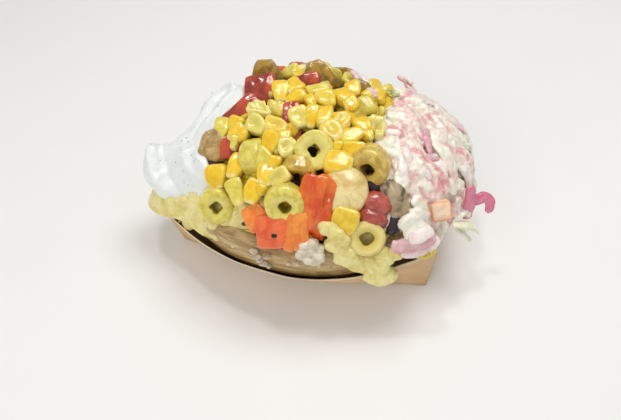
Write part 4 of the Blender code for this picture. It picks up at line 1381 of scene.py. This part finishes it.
@dataclass(frozen=True)
class Kernel:
    """One kernel of corn on the load: where, how it is turned, its size and its shade."""

    x: float
    y: float
    spin: float
    length: float
    width: float
    tone: float = 0.15
    lift: float = 0.4
    torn: bool = False
    hollow: float = 0.0         # how deep its open cut end shows

    @staticmethod
    def shape(length: float, width: float, thickness: float, seed: float, torn: bool,
              hollow: float = 0.0) -> Form:
        """A kernel about its own middle: a broad crown that narrows to a pale tip."""
        form = block(7, 5.0)
        u, v, w = form.points.T
        taper = 1 - 0.34 * smooth(0.2, -1.0, v) + 0.04 * np.sin(3 * v + seed)
        skew = 0.10 * math.sin(2.1 * seed)
        pit = np.exp(-((u / 0.52) ** 2 + ((v + 0.05) / 0.55) ** 2) ** 1.4) * (w > 0.3)
        groove = np.exp(-(u / 0.3) ** 2 - (v / 0.6) ** 2) * 0.07 * (w > 0.3)
        height = w * (1 - 0.12 * v * v) - pit * (0.7 * hollow) - groove * (1 - hollow)
        form.points = np.stack([(u * taper + skew * v) * width / 2, v * length / 2,
                                height * thickness / 2], 1)
        cut = np.maximum(smooth(-0.70, -0.95, v + 0.12 * np.sin(5 * u + seed)), 0.35 * hollow
                         * (w > 0.3))
        # edge is 1 on the kernel's sides, where the material paints a lighter glow of light shining through it
        edge = smooth(0.72, 0.98, np.maximum(np.abs(u), np.abs(v)))
        if torn:
            cut = np.maximum(cut, smooth(0.1, 0.5, np.sin(4 * u + seed) * np.cos(5 * v)))
            form = form.roughened(Rough(2.6, 1.5, seed), Rough(1.3, 0.5, seed + 3))
        # inner is the middle of the hollow, which the material paints darker as shade
        return form.roughened(Rough(4.5, 0.7, seed)).marked(cut=cut, edge=edge,
                                                            inner=pit * hollow)

    def form(self, index: int) -> Form:
        """The kernel in its place."""
        thickness = 7.2 + 0.9 * math.sin(3.7 * index)
        made = self.shape(self.length, self.width, thickness, 1.3 * index, self.torn,
                          self.hollow)
        lean = 17 * math.sin(2.3 * index)
        out = LOAD.out(self.x, self.y)
        azimuth = math.degrees(math.atan2(out.y, out.x)) if out.xy.length > 0.2 else -75.0
        elevation = math.degrees(math.asin(out.z))
        azimuth += (((-75.0 - azimuth) + 180) % 360 - 180) * 0.6
        place = Place(self.x, self.y, -self.lift, azimuth + lean,
                      elevation * 0.55 + 55 * 0.45 + 0.7 * lean, self.spin)
        return place.set(made).marked(tone=self.tone)


@dataclass(frozen=True)
class CornHeap:
    """The heap in the middle: a dark core of painted shade, filling kernels and dice, and the top kernels."""

    centre: Flat = (1.0, -18.0)
    kernels: tuple[Kernel, ...] = (
        Kernel(-14.6, 1.1, 0, 13, 9.5), Kernel(-8.9, 6, -60, 11, 10),
        Kernel(-5.5, -2.3, -55, 12, 6.5), Kernel(4.2, 6.2, 100, 12, 7, 0.6),
        Kernel(3.2, -4.4, 15, 9, 5.5), Kernel(9.3, 0.8, -80, 11.5, 9.5, 0.5),
        Kernel(-22.1, -12.3, 70, 12, 9, 0.8, torn=True, hollow=0.7), Kernel(-20.7, -21.9, 80, 12, 10, 0.8, hollow=0.7),
        Kernel(-10.6, -21.7, 90, 13, 9, hollow=0.7), Kernel(-40, -22.6, 0, 13, 8.5, 0.7),
        Kernel(-32.9, -20, 0, 8, 8, 0.3), Kernel(-29.5, -26.9, -30, 11, 10, 0.3),
        Kernel(-29.7, -31.3, 0, 7, 4.5, 0.9), Kernel(-10.5, -31, 0, 12, 10),
        Kernel(-3.9, -28.5, 0, 8, 7), Kernel(-1.5, -33.3, 0, 11, 9, 0.8, torn=True, hollow=0.7),
        Kernel(-34.9, -46.6, 30, 13, 12, 0.05), Kernel(-25.4, -43.1, -15, 14, 9),
        Kernel(-11.7, -39.5, 60, 12, 9, 0.7), Kernel(-5.4, -41.3, 0, 7, 6, 0.3),
        Kernel(-8, -46.8, -20, 13, 11, 0.3), Kernel(-1.1, -47.4, -35, 11, 9, 0.6, hollow=0.7),
        Kernel(-12.7, -54.2, -15, 13, 9.5), Kernel(-22.2, -54.1, 25, 14, 9, 0.9),
        Kernel(-8.3, -53.1, 0, 6, 5), Kernel(18.5, 4.7, 10, 12, 9),
        Kernel(21.8, 12.1, 20, 10, 9), Kernel(23.1, 0.8, -50, 8, 9),
        Kernel(11.4, -11.9, -10, 12, 11), Kernel(6.1, -13.7, 0, 13, 7),
        Kernel(-0.3, -15.1, 20, 12, 10, 0.6, hollow=0.7), Kernel(18.1, -20.2, 20, 13, 11, hollow=0.7),
        Kernel(21.5, -12.9, 0, 10, 9, 0.4, torn=True), Kernel(32.3, -12.3, 10, 11, 8.5),
        Kernel(28.2, -19.6, 100, 13, 9), Kernel(30.3, -26.4, 115, 13, 9),
        Kernel(25.3, -35.2, 60, 14, 12.5), Kernel(39, -9.9, 0, 12, 8, 0.8, torn=True, hollow=0.7),
        Kernel(30.4, 9.5, 45, 7, 5), Kernel(35.7, -16.5, 0, 7, 5), Kernel(22.9, -27.2, 0, 6, 5),
        Kernel(36, 26, 20, 12, 9, 0.3, -7), Kernel(26, 30, -30, 11, 9, 0.5, -6),
        Kernel(44, 26, 60, 11, 8, 0.2, -8), Kernel(18, 35, 10, 12, 9, 0.8, -5),
        Kernel(30, 38, 80, 11, 9, 0.4, -5), Kernel(39, 35, 0, 11, 9, 0.6, -6),
        Kernel(-8, 27, 40, 12, 9, 0.4, -4), Kernel(-16, 31, -20, 11, 9, 0.7, -4))

    def top(self, x: np.ndarray, y: np.ndarray) -> np.ndarray:
        """Height of the dark core of painted shade, deeper in front."""
        return LOAD.height(x, y) - 8.5 + 4.0 * smooth(10, 30, y)

    def reach(self, angle: np.ndarray) -> np.ndarray:
        """Its outline."""
        return oval(angle, 56, 52, 48, 56) * (1 + 0.03 * np.sin(11 * angle))

    def ground(self, under: float) -> Form:
        """The surface that filling pieces lie on, a depth under the load's own surface."""
        mass = Mass(self.centre, lambda angle: self.reach(angle) * 0.93,
                    lambda x, y: LOAD.height(x, y) - under, 50.0, 46.0, 7.0 + under)
        ground = mass.form(80, 24, 2)
        keep = [face for face in ground.faces if ground.points[list(face), 2].mean() > 55]
        return Form(ground.points, keep)

    def build(self) -> None:
        """Adds the heap."""
        mass = Mass(self.centre, self.reach, self.top, 52.0, 48.0, 12.0)
        # painted shade: the core is dark brown so that the gaps between the kernels look shadowed
        wet = Moist("wet_filling", tint(86, 72, 30), tint(48, 36, 18), tint(120, 100, 44),
                    tint(140, 112, 52), patch=6.0, roughness=0.3).build()
        core = mass.form(160, 50, 8).roughened(Rough(7.0, 2.6, 2.0), Rough(3.0, 1.2, 5.0))
        lay("heap_core", core, wet, "sweetcorn", "topping_heap")
        corn = Corn().build()
        kinds = [Kernel.shape(length, width, 7.0, 2.0 * index, index == 4) for index,
                 (length, width) in enumerate(((12, 9), (11, 8), (13, 9.5), (10, 8.5), (9, 7)))]
        for name, under, density, seed in (("corn_lower", 6.5, 0.95, 3), ("corn_upper", 3.4, 0.5, 8)):
            strewn = Scatter(density, seed, 0.85, 1.1, 0.55, 0.0).over(
                self.ground(under), kinds, corn)
            lay(name, strewn, corn, "sweetcorn")
        top = together([kernel.form(index) for index, kernel in enumerate(self.kernels)])
        lay("corn_on_top", top, corn, "sweetcorn")
        large = Kernel(34.0, -57.0, -10, 14.5, 14, 0.45, -2.0)
        lay("large_kernel", large.form(2), corn, "sweetcorn", "corn_kernel_large")
        dice = [self.die(size, index) for index, size in enumerate((5.2, 4.2, 6.0))]
        for name, finish, slot, seed in (("red_dice", RED, "red_pepper", 11),
                                         ("green_dice", BRINE_GREEN, "pickle", 14)):
            made = finish.build()
            strewn = Scatter(0.16, seed, 0.8, 1.2, 0.8, 0.0).over(self.ground(3.0), dice, made)
            lay(name, strewn, made, slot)

    @staticmethod
    def die(size: float, index: int) -> Form:
        """A small soft cube."""
        form = block(4, 5.0)
        form.points = form.points * (size / 2, size * 0.42, size * 0.36)
        return form.roughened(Rough(3.0, 0.7, index))


# ---------------------------------------------------------------- single toppings

RED = Moist("red_pepper_skin", tint(200, 76, 38), tint(140, 40, 24), tint(216, 112, 70),
            tint(232, 140, 90), patch=7.0, flecks=0.2, streak=(1.0, 0.35, 1.0), bump=0.12,
            roughness=0.22, coat=1.0, depth=0.15, reach=1.6, warmth=(1.0, 0.25, 0.1))
ORANGE = Moist("orange_pepper_skin", tint(238, 122, 36), tint(220, 72, 20), tint(240, 160, 80),
               tint(250, 190, 110), patch=9.0, flecks=0.15, streak=(1.0, 0.3, 1.0), bump=0.12,
               roughness=0.2, coat=1.0, depth=0.15, reach=1.6, warmth=(1.0, 0.4, 0.1))
CORAL = Moist("coral_pepper_skin", tint(244, 118, 60), tint(230, 84, 42), tint(246, 184, 128),
              tint(250, 200, 150), patch=7.0, flecks=0.2, streak=(1.0, 0.4, 1.0), bump=0.12,
              roughness=0.24, coat=1.0, depth=0.15, reach=1.6, warmth=(1.0, 0.4, 0.15))
AMBER = Moist("amber_pepper_skin", tint(252, 160, 62), tint(242, 126, 42), tint(250, 190, 120),
              tint(250, 200, 140), patch=6.0, flecks=0.25, streak=(1.0, 0.3, 1.0), bump=0.16,
              roughness=0.2, coat=1.0, depth=0.15, reach=1.6, warmth=(1.0, 0.45, 0.15))
BRINE_BROWN = Moist("brown_pickle", tint(178, 140, 44), tint(124, 92, 28), tint(206, 176, 92),
                    tint(214, 184, 96), patch=5.0, flecks=0.3, bump=0.25, roughness=0.25,
                    coat=0.5, depth=0.15, reach=1.8, warmth=(1.0, 0.7, 0.2))
BRINE_GREEN = Moist("green_pickle", tint(226, 204, 84), tint(188, 168, 54), tint(220, 206, 120),
                    tint(226, 212, 130), patch=5.0, flecks=0.25, bump=0.2, roughness=0.22,
                    coat=0.5, depth=0.18, reach=1.8, warmth=(1.0, 0.8, 0.25))
MUSHROOM_CREAM = Moist("cream_mushroom", tint(246, 226, 164), tint(222, 192, 118),
                       tint(244, 232, 190), tint(168, 128, 66), patch=8.0, flecks=0.25,
                       bump=0.18, bump_size=2.0, roughness=0.36, coat=0.25, reach=1.5)
MUSHROOM_TAN = Moist("tan_mushroom", tint(206, 176, 118), tint(158, 124, 72),
                     tint(214, 188, 134), tint(240, 218, 166), patch=6.0, flecks=0.35, bump=0.2,
                     roughness=0.38, coat=0.25, reach=1.4)
MUSHROOM_GREY = Moist("grey_mushroom", tint(188, 168, 136), tint(96, 74, 52),
                      tint(222, 204, 168), tint(92, 68, 44), patch=5.0, flecks=0.3,
                      streak=(1.0, 0.3, 1.0), bump=0.35, bump_size=1.0, roughness=0.38,
                      coat=0.25, reach=1.2)
SAUSAGE = Moist("sausage_skin", tint(196, 92, 76), tint(158, 58, 48), tint(220, 150, 124),
                tint(230, 170, 146), patch=7.0, flecks=0.25, bump=0.1, roughness=0.22,
                coat=1.0, depth=0.15, reach=1.5, warmth=(1.0, 0.3, 0.2))
DARK = Moist("dark_fruit_skin", tint(58, 36, 40), tint(26, 18, 26), tint(110, 70, 62),
             tint(90, 60, 60), patch=4.0, flecks=0.15, bump=0.1, roughness=0.2, coat=0.6,
             depth=0.02)
CHEESE = Moist("soft_cheese", tint(232, 224, 202), tint(200, 188, 164), tint(238, 226, 206),
               tint(214, 170, 140), patch=4.0, flecks=0.25, bump=0.3, bump_size=1.4,
               roughness=0.34, coat=0.3, depth=0.2, reach=1.5, warmth=(1.0, 0.85, 0.6))
CARROT = Moist("dressed_carrot", tint(250, 226, 200), tint(244, 204, 168), tint(238, 140, 70),
               tint(234, 130, 60), patch=4.0, flecks=0.45, fleck_size=1.8, bump=0.3,
               bump_size=1.6, roughness=0.34, coat=0.3, depth=0.15, warmth=(1.0, 0.6, 0.35))
HERB = Moist("herb_green", tint(96, 104, 40), tint(56, 64, 24), tint(128, 134, 62),
             tint(140, 140, 72), patch=2.0, bump=0.1, roughness=0.4, coat=0.2, depth=0.05)
LEAF = Moist("lettuce_green", tint(198, 196, 116), tint(150, 156, 70), tint(196, 196, 120),
             tint(190, 196, 110), patch=4.0, bump=0.2, roughness=0.32, coat=0.4, depth=0.1)
CRUMB = Moist("browned_crumb", tint(214, 180, 120), tint(160, 116, 60), tint(232, 206, 150),
              tint(120, 80, 40), patch=2.0, bump=0.2, roughness=0.6, coat=0.05)

GREEN_OLIVE = Olive("olive_green", tint(236, 222, 112), tint(210, 192, 70), tint(250, 240, 158),
                    tint(226, 210, 96))
GOLD_OLIVE = Olive("olive_golden", tint(226, 198, 96), tint(190, 154, 58), tint(226, 200, 104),
                   tint(196, 160, 66))
PALE_OLIVE = Olive("olive_pale", tint(226, 206, 124), tint(204, 182, 92), tint(238, 222, 146),
                   tint(214, 190, 84))


@dataclass(frozen=True)
class Ring:
    """A slice of a pitted olive."""

    name: str
    place: Place
    outer: float
    length: float
    hole: float
    finish: Olive
    square: float = 0.10        # how far its hole is from round
    plump: float = 2.4          # 2 is a ball, higher is a straight-sided slice
    face: float = 0.62          # how far out its cut face reaches

    def build(self, finish: bpy.types.Material) -> None:
        """Adds the slice."""
        half = self.length / 2
        belly = [(self.hole + (self.outer - self.hole) * math.sin(turn) ** (1 / self.plump),
                  half * math.cos(turn) ** (1 / self.plump))
                 for turn in np.linspace(0.16, math.pi / 2, 12)]
        lower = [(radius, -height) for radius, height in belly[-2::-1]]
        bore = [(self.hole * 1.02, -half * 0.98), (self.hole * 0.94, -half * 0.86),
                (self.hole * 0.92, -half * 0.4), (self.hole * 0.92, half * 0.4),
                (self.hole * 0.94, half * 0.86), (self.hole * 1.02, half * 0.98)]
        form = turned([*belly, *lower, *bore], 64)
        x, y, z = form.points.T
        angle, reach = np.arctan2(y, x), np.hypot(x, y)
        near = smooth(self.outer * 0.8, self.hole, reach)
        wide = 1 + 0.03 * np.sin(2 * angle + self.place.x) + 0.012 * np.sin(5 * angle)
        wide *= 1 + self.square * near * (np.cos(4 * angle + 0.6) + 0.5 * np.sin(3 * angle))
        # painted shade: deep is 1 inside the hole away from its two mouths, and through the mark "tone" that part is
        # painted dark
        deep = smooth(self.hole * 1.12, self.hole * 0.98, reach) * smooth(0.95, 0.6, np.abs(z) / half)
        cut = smooth(self.face, self.face - 0.12, reach / self.outer)
        form.points = np.stack([x * wide, y * wide, z], 1)
        form = form.marked(cut=cut, inner=near ** 2, tone=deep * 0.55).roughened(
            Rough(5.0, 0.35, self.place.x), Rough(1.8, 0.08, self.place.y))
        lay(self.name, self.place.set(form), finish, "green_olive", self.name)


@dataclass(frozen=True)
class Slice:
    """A cut piece of vegetable: a softened slab that narrows to one end, curls and wrinkles."""

    name: str
    place: Place
    width: float
    height: float
    thickness: float
    taper: float
    curl: float
    finish: Moist
    slot: str
    wrinkles: float = 0.5       # depth of the creases along it
    crease: Point = (4.0, 14.0, 4.0)
    power: float = 7.0
    rind: bool = False          # a skin on the front, and a paler cut behind it

    def build(self, finish: bpy.types.Material) -> None:
        """Adds the slice."""
        form = block(18, self.power)
        u, v, w = form.points.T
        narrow = self.taper + (1 - self.taper) * (1 - v) / 2
        px = u * self.width / 2 * narrow
        py = v * self.height / 2
        pz = w * self.thickness / 2 * (1 - 0.14 * (u * u + v * v) / 2)
        pz -= self.curl * (px * px / self.width + py * py / self.height)
        cut = smooth(0.45, -0.2, w) if self.rind else np.zeros(len(u))
        form = Form(np.stack([px, py, pz], 1), form.faces).marked(cut=cut)
        seed = self.place.x + 2 * self.place.y
        form = form.roughened(Rough(9.0, 0.9, seed), Rough(self.crease, self.wrinkles, seed, True),
                              Rough(2.2, 0.16, seed))
        lay(self.name, self.place.set(form), finish, self.slot, self.name)


@dataclass(frozen=True)
class Nugget:
    """A rounded piece, such as a mushroom, a bean or a piece of sausage."""

    name: str
    place: Place
    halves: Point
    lumpy: float
    finish: Moist
    slot: str
    power: float = 2.4
    split: float = 0.0          # depth of a cleft that parts it into two lobes

    def build(self, finish: bpy.types.Material) -> None:
        """Adds the piece."""
        form = block(18, self.power)
        form.points = form.points * self.halves
        x, y, z = form.points.T
        cleft = self.split * np.exp(-((y + 0.12 * x) / 1.6) ** 2) * (z > -self.halves[2] * 0.5)
        form = form.pushed(-cleft)
        size = min(self.halves)
        form = form.roughened(Rough(size * 1.1, self.lumpy * size * 1.6, self.place.x),
                              Rough(size * 0.4, self.lumpy * size * 0.5, self.place.y),
                              Rough(1.3, 0.08, 3.0))
        if self.power > 3:
            corner = np.sort(np.abs(np.stack([x, y, z]) / np.array(self.halves)[:, None]), 0)[1]
            form = form.marked(cut=smooth(0.68, 0.9, corner))
        lay(self.name, self.place.set(form), finish, self.slot, self.name)


RINGS = (
    Ring("olive_ring_1", Place(-33, -57, 3.5, -72, 24), 9.6, 12.0, 3.3, GREEN_OLIVE, 0.12),
    Ring("olive_ring_2", Place(4, -57.5, 2.5, -72, 24), 10.4, 12.5, 3.4, GREEN_OLIVE, 0.05),
    Ring("olive_ring_3", Place(12, -32, 1.0, -76, 42), 9.9, 8.5, 3.1, GREEN_OLIVE, 0.10, 4.5,
         0.82),
    Ring("olive_ring_4", Place(40, -31, 2.5, -92, 16), 10.4, 12.5, 3.6, GOLD_OLIVE, 0.05, 2.6),
    Ring("olive_ring_5", Place(45, -58, 0.5, -76, 42), 9.0, 6.0, 3.6, PALE_OLIVE, 0.05, 4.0,
         0.90),
    Ring("olive_ring_6", Place(7, -43, 6.5, -84, -14), 9.2, 9.0, 3.2, GOLD_OLIVE, 0.06, 3.0),
    Ring("olive_ring_7", Place(-17, -39, 4.5, 5, 15), 9.4, 12.0, 2.6, GREEN_OLIVE, 0.06, 2.2,
         0.4),
    Ring("olive_ring_8", Place(3, 34, 3.0, 80, 45), 9.0, 8.0, 3.2, GREEN_OLIVE),
)

SLICES = (
    Slice("pepper_orange_1", Place(19, -56.5, 2.0, -76, 30, -10), 20, 32, 7.5, 0.78, 0.35, ORANGE,
          "orange_pepper", 1.7, (4.5, 22.0, 6.0)),
    Slice("pepper_orange_2", Place(0.5, -66.5, 0.0, -76, 38, 5), 18, 17.5, 6.5, 0.95, 0.10, CORAL,
          "orange_pepper", 0.35, (8.0, 20.0, 8.0)),
    Slice("pepper_orange_3", Place(-9.5, -63, 2.0, -70, 48, 30), 13, 13, 5.5, 0.80, 0.15, AMBER,
          "orange_pepper"),
    Slice("pepper_orange_4", Place(12, -65.5, 2.0, -66, 32, -10), 12, 20, 6.0, 0.90, 0.10, AMBER,
          "orange_pepper", 0.9, (3.2, 18.0, 5.0)),
    Slice("pepper_red_1", Place(-27, 4, 2.5, -80, 55, 12), 19, 18, 5.5, 0.85, 0.25, RED,
          "red_pepper"),
    Slice("pepper_red_2", Place(-33, -12, 2.5, -85, 58, -38), 12, 23, 5.0, 0.80, 0.20, RED,
          "red_pepper"),
    Slice("pepper_red_3", Place(-30, -33, 2.5, -80, 52, 18), 17, 11, 5.0, 0.75, 0.20, RED,
          "red_pepper"),
    Slice("pepper_red_4", Place(-3, -19, 3.5, -80, 60, 6), 11, 24, 5.0, 0.80, 0.20, RED,
          "red_pepper"),
    Slice("pepper_red_5", Place(-4, 15, 2.5, -80, 55, 10), 14, 7, 4.5, 0.90, 0.10, RED,
          "red_pepper"),
    Slice("pickle_1", Place(-29.5, 20.5, 2.6, -72, 40, 4), 24, 16, 6.0, 0.35, 0.10, BRINE_BROWN,
          "pickle", 0.4, (12.0, 4.0, 4.0), 10.0),
    Slice("pickle_2", Place(1.0, 19.5, 2.4, -70, 42, 14), 25, 18, 6.0, 0.30, 0.10, BRINE_BROWN,
          "pickle", 0.4, (12.0, 4.0, 4.0), 10.0),
    Slice("pickle_3", Place(29, 0, 2, -70, 60, 25), 14, 11, 7.5, 0.85, 0.10, BRINE_GREEN,
          "green_pepper", 0.3),
    Slice("pickle_4", Place(-13, -11, 2, -70, 62, -10), 13, 9, 5.5, 0.80, 0.10, BRINE_GREEN,
          "green_pepper", 0.3),
    Slice("pickle_5", Place(25, 17, 2, -70, 55, -30), 12, 7, 5.5, 0.80, 0.10, BRINE_BROWN,
          "pickle", 0.3),
    Slice("pickle_6", Place(12, 41, 1, 84, 50, 20), 16, 12, 5.5, 0.60, 0.15, BRINE_BROWN,
          "pickle"),
    Slice("pepper_red_6", Place(-14, 43, 1, 96, 48, -16), 17, 13, 5.5, 0.80, 0.20, RED,
          "red_pepper"),
    Slice("pepper_orange_5", Place(-30, 39, 1.5, 104, 44, 34), 15, 15, 6.0, 0.85, 0.20, ORANGE,
          "orange_pepper"),
    Slice("mushroom_2", Place(-41.5, -31, -0.5, -84, 48, 12), 22, 17, 7.5, 0.50, 0.30, MUSHROOM_TAN,
          "mushroom", 0.7, (6.0, 6.0, 6.0), 3.2, True),
    Slice("mushroom_3", Place(55.5, -41, 1.5, -90, 40, 32), 13, 22, 6.0, 0.80, 0.15,
          MUSHROOM_GREY, "mushroom", 0.8, (2.4, 14.0, 4.0), 3.2),
)

NUGGETS = (
    Nugget("mushroom_1", Place(31, -46.5, 3.5, -76, 45, 10), (11.2, 11.8, 7.2), 0.10,
           MUSHROOM_CREAM, "mushroom"),
    Nugget("sausage_piece", Place(47, -49, 5, -72, 45, -14), (8.4, 9.8, 7.4), 0.05, SAUSAGE,
           "sausage", 2.4, 1.8),
    Nugget("black_olive", Place(44, -38, 8, -76, 45, 0), (6.2, 6.7, 6.2), 0.04, DARK,
           "dark_fruit"),
    Nugget("bean_1", Place(57, -49, 3, -76, 45, -20), (4.2, 5.8, 4.2), 0.04, DARK, "dark_fruit"),
    Nugget("bean_2", Place(-40.5, -40, 5, -76, 45, 10), (5.4, 3.8, 4.0), 0.04, DARK,
           "dark_fruit"),
    Nugget("carrot_cube", Place(77, -31, 0, -70, 40, 6), (5.8, 5.4, 5.0), 0.06, CARROT,
           "carrot", 5.0),
    Nugget("mushroom_4", Place(-5, 48, 2, 92, 45, 20), (9.2, 7.7, 6.2), 0.10, MUSHROOM_CREAM,
           "mushroom"),
)


@dataclass(frozen=True)
class Sprinkles:
    """Small things that lie about: cheese lumps, crumbs, herbs and scraps of pickle."""

    cheese: tuple[Point, ...] = (
        (-3.6, 2.4, 1.0), (0.6, 3.6, 1.6), (4.2, 1.4, 0.8), (-4.4, -1.6, 0.6), (-0.4, 0.0, 2.2),
        (3.4, -2.8, 1.2), (-1.8, -4.4, 0.8), (1.8, -5.0, 0.2), (0.0, 0.0, -1.6))
    leaves: tuple[Point, ...] = ((61, 23.4, 80), (40, 22, 87.5), (43.5, 21, 87),
                                 (69, 26, 75), (65, 30, 74), (75, 24, 71), (78, 19, 69))
    herbs: tuple[Point, ...] = ((65.9, -43.7, 57.5), (67.9, -43.5, 52), (64, -42, 61),
                                (70, -40, 60))

    smears: tuple[tuple[Point, float], ...] = (
        ((-9, -71.3, 48), 4.4), ((-7.5, -71.7, 45.5), 5.4), ((-6, -72, 43), 4.2),
        ((-4, -72.2, 40.5), 5.0), ((-1.5, -72.2, 39.6), 3.4), ((-2, -71.8, 46.5), 4.0),
        ((9, -71.8, 44), 2.4), ((13, -71.5, 46), 4.4), ((24, -69, 44), 2.2), ((-22, -68, 44), 2.0))

    def build(self) -> None:
        """Adds them all."""
        spot = Place(20, -68, 0)
        balls = []
        for index, middle in enumerate(self.cheese):
            ball = block(8, 2.3)
            size = 2.6 + 0.6 * math.sin(2.7 * index)
            ball.points *= (size * 1.1, size, size)
            balls.append(ball.placed(Matrix.Rotation(index, 3, "X"), middle))
        lumpy = melted(balls, 0.5, 2).roughened(Rough(2.4, 0.5, 1.0), Rough(1.1, 0.15, 2.0))
        lay("cheese_lumps", spot.set(lumpy), CHEESE.build(), "cheese", "cheese_piece")
        green = LEAF.build()
        lay("leaf_bits", together([self.scrap(at, 4.6, 0.9, index)
                                   for index, at in enumerate(self.leaves)]), green, "cabbage")
        lay("herb_bits", together([self.scrap(at, 2.6, 0.6, index)
                                   for index, at in enumerate(self.herbs)]), HERB.build(),
            "cabbage")
        smears = [self.scrap(at, size, 1.2, index) for index, (at, size) in enumerate(self.smears)]
        lay("skin_smears", together(smears), CHEESE.build(), "mashed_potato")
        fleck = block(6, 2.6)
        fleck.points = fleck.points * (1.3, 1.1, 0.6) + (0.3, -1.8, 3.3)
        lay("dark_fleck", Place(0.5, -66.5, 0.0, -76, 38, 5).set(fleck), DARK.build(), "dark_fruit")
        crumbs = [self.scrap((-71 + 1.3 * index + 2 * math.sin(5 * index),
                              -45.5 - 0.75 * index, 37.0), 1.5, 1.3, index)
                  for index in range(12)]
        lay("rim_crumbs", together(crumbs), CRUMB.build(), "mashed_potato")
        bit = together([self.scrap((73, -50, 45), 7.0, 4.2, 3),
                        self.scrap((77, -47, 44), 5.0, 3.6, 5)])
        lay("pickle_scrap", bit, BRINE_GREEN.build(), "pickle")

    @staticmethod
    def scrap(at: Point, size: float, thickness: float, index: int) -> Form:
        """A small torn piece about a spot, lying along the load."""
        form = block(6, 2.6)
        form.points = form.points * (size / 2, size * 0.36, thickness / 2)
        form = form.roughened(Rough(size * 0.4, size * 0.12, index), Rough(1.1, 0.12, index))
        tilt = LOAD.out(*at[:2]).to_track_quat("Z", "Y").to_matrix()
        return form.placed(tilt @ Matrix.Rotation(2.1 * index, 3, "Z"), at)


# ---------------------------------------------------------------- studio

@dataclass(frozen=True)
class Lamp:
    """A soft square light aimed at the food."""

    name: str
    place: Point
    size: float
    power: float
    colour: Colour = (1.0, 1.0, 1.0)
    mirrored: bool = True       # whether wet surfaces show it as a glint

    def build(self) -> None:
        """Adds the light."""
        light = bpy.data.lights.new(self.name, "AREA")
        light.size = self.size
        light.energy = self.power
        light.color = self.colour
        made = bpy.data.objects.new(self.name, light)
        made.location = self.place
        aim = Vector((0, 0, 0.05)) - Vector(self.place)
        made.rotation_euler = aim.to_track_quat("-Z", "Y").to_euler()
        made.visible_glossy = self.mirrored
        bpy.context.scene.collection.objects.link(made)


@dataclass(frozen=True)
class Studio:
    """Pale floor, soft lights and the camera."""

    lamps: tuple[Lamp, ...] = (
        Lamp("overhead_light", (0.2, 0.25, 0.9), 0.4, 3.4, (1.0, 0.985, 0.96)),
        Lamp("window_light", (-0.15, 0.1, 0.9), 0.10, 1.1, (1.0, 0.99, 0.98)),
        Lamp("front_fill", (-0.2, -0.8, 0.5), 0.6, 2.7, (1.0, 0.99, 0.98), False))
    world: float = 0.42
    eye: Point = (0.0678, -0.2444, 0.2840)
    turn: Point = (42.298, 0.404, 14.816)
    lens: float = 34.78

    def build(self) -> None:
        """Adds the floor, world, lights and camera."""
        scene = bpy.context.scene
        shader = Shader("pale_floor")
        cloud = shader.noise(60.0, 2.0)
        finish = shader.finish(shader.mix(cloud, (0.89, 0.885, 0.875), (0.92, 0.915, 0.905)), 0.6,
                               shader.relief(cloud, 0.02))
        mesh = bpy.data.meshes.new("floor")
        mesh.from_pydata([(-3, -3, 0), (3, -3, 0), (3, 3, 0), (-3, 3, 0)], [], [(0, 1, 2, 3)])
        mesh.materials.append(finish)
        floor = bpy.data.objects.new("floor", mesh)
        scene.collection.objects.link(floor)
        world = bpy.data.worlds.new("studio")
        world.use_nodes = True
        sky = world.node_tree.nodes["Background"]
        sky.inputs["Color"].default_value = (1.0, 1.0, 1.0, 1.0)
        sky.inputs["Strength"].default_value = self.world
        scene.world = world
        for lamp in self.lamps:
            lamp.build()
        camera = bpy.data.cameras.new("camera")
        camera.lens = self.lens
        camera.sensor_width = 36.0
        made = bpy.data.objects.new("camera", camera)
        made.location = self.eye
        made.rotation_euler = [math.radians(angle) for angle in self.turn]
        scene.collection.objects.link(made)
        scene.camera = made
        scene.view_settings.view_transform = "Standard"


def build_toppings() -> None:
    """Adds the olive rings, slices and rounded pieces, one material for each finish."""
    finishes: dict[str, bpy.types.Material] = {}
    for piece in (*RINGS, *SLICES, *NUGGETS):
        if piece.finish.name not in finishes:
            finishes[piece.finish.name] = piece.finish.build()
        piece.build(finishes[piece.finish.name])


def main() -> None:
    """Builds the pieces in order."""
    PaperTray().build()
    jacket = Jacket()
    jacket.skin()
    jacket.flesh()
    Lobe().build()
    Slaw().build()
    CornHeap().build()
    build_toppings()
    Sprinkles().build()
    Studio().build()


if __name__ == "__main__":
    logging.basicConfig(level=logging.INFO, format="%(message)s")
    main()
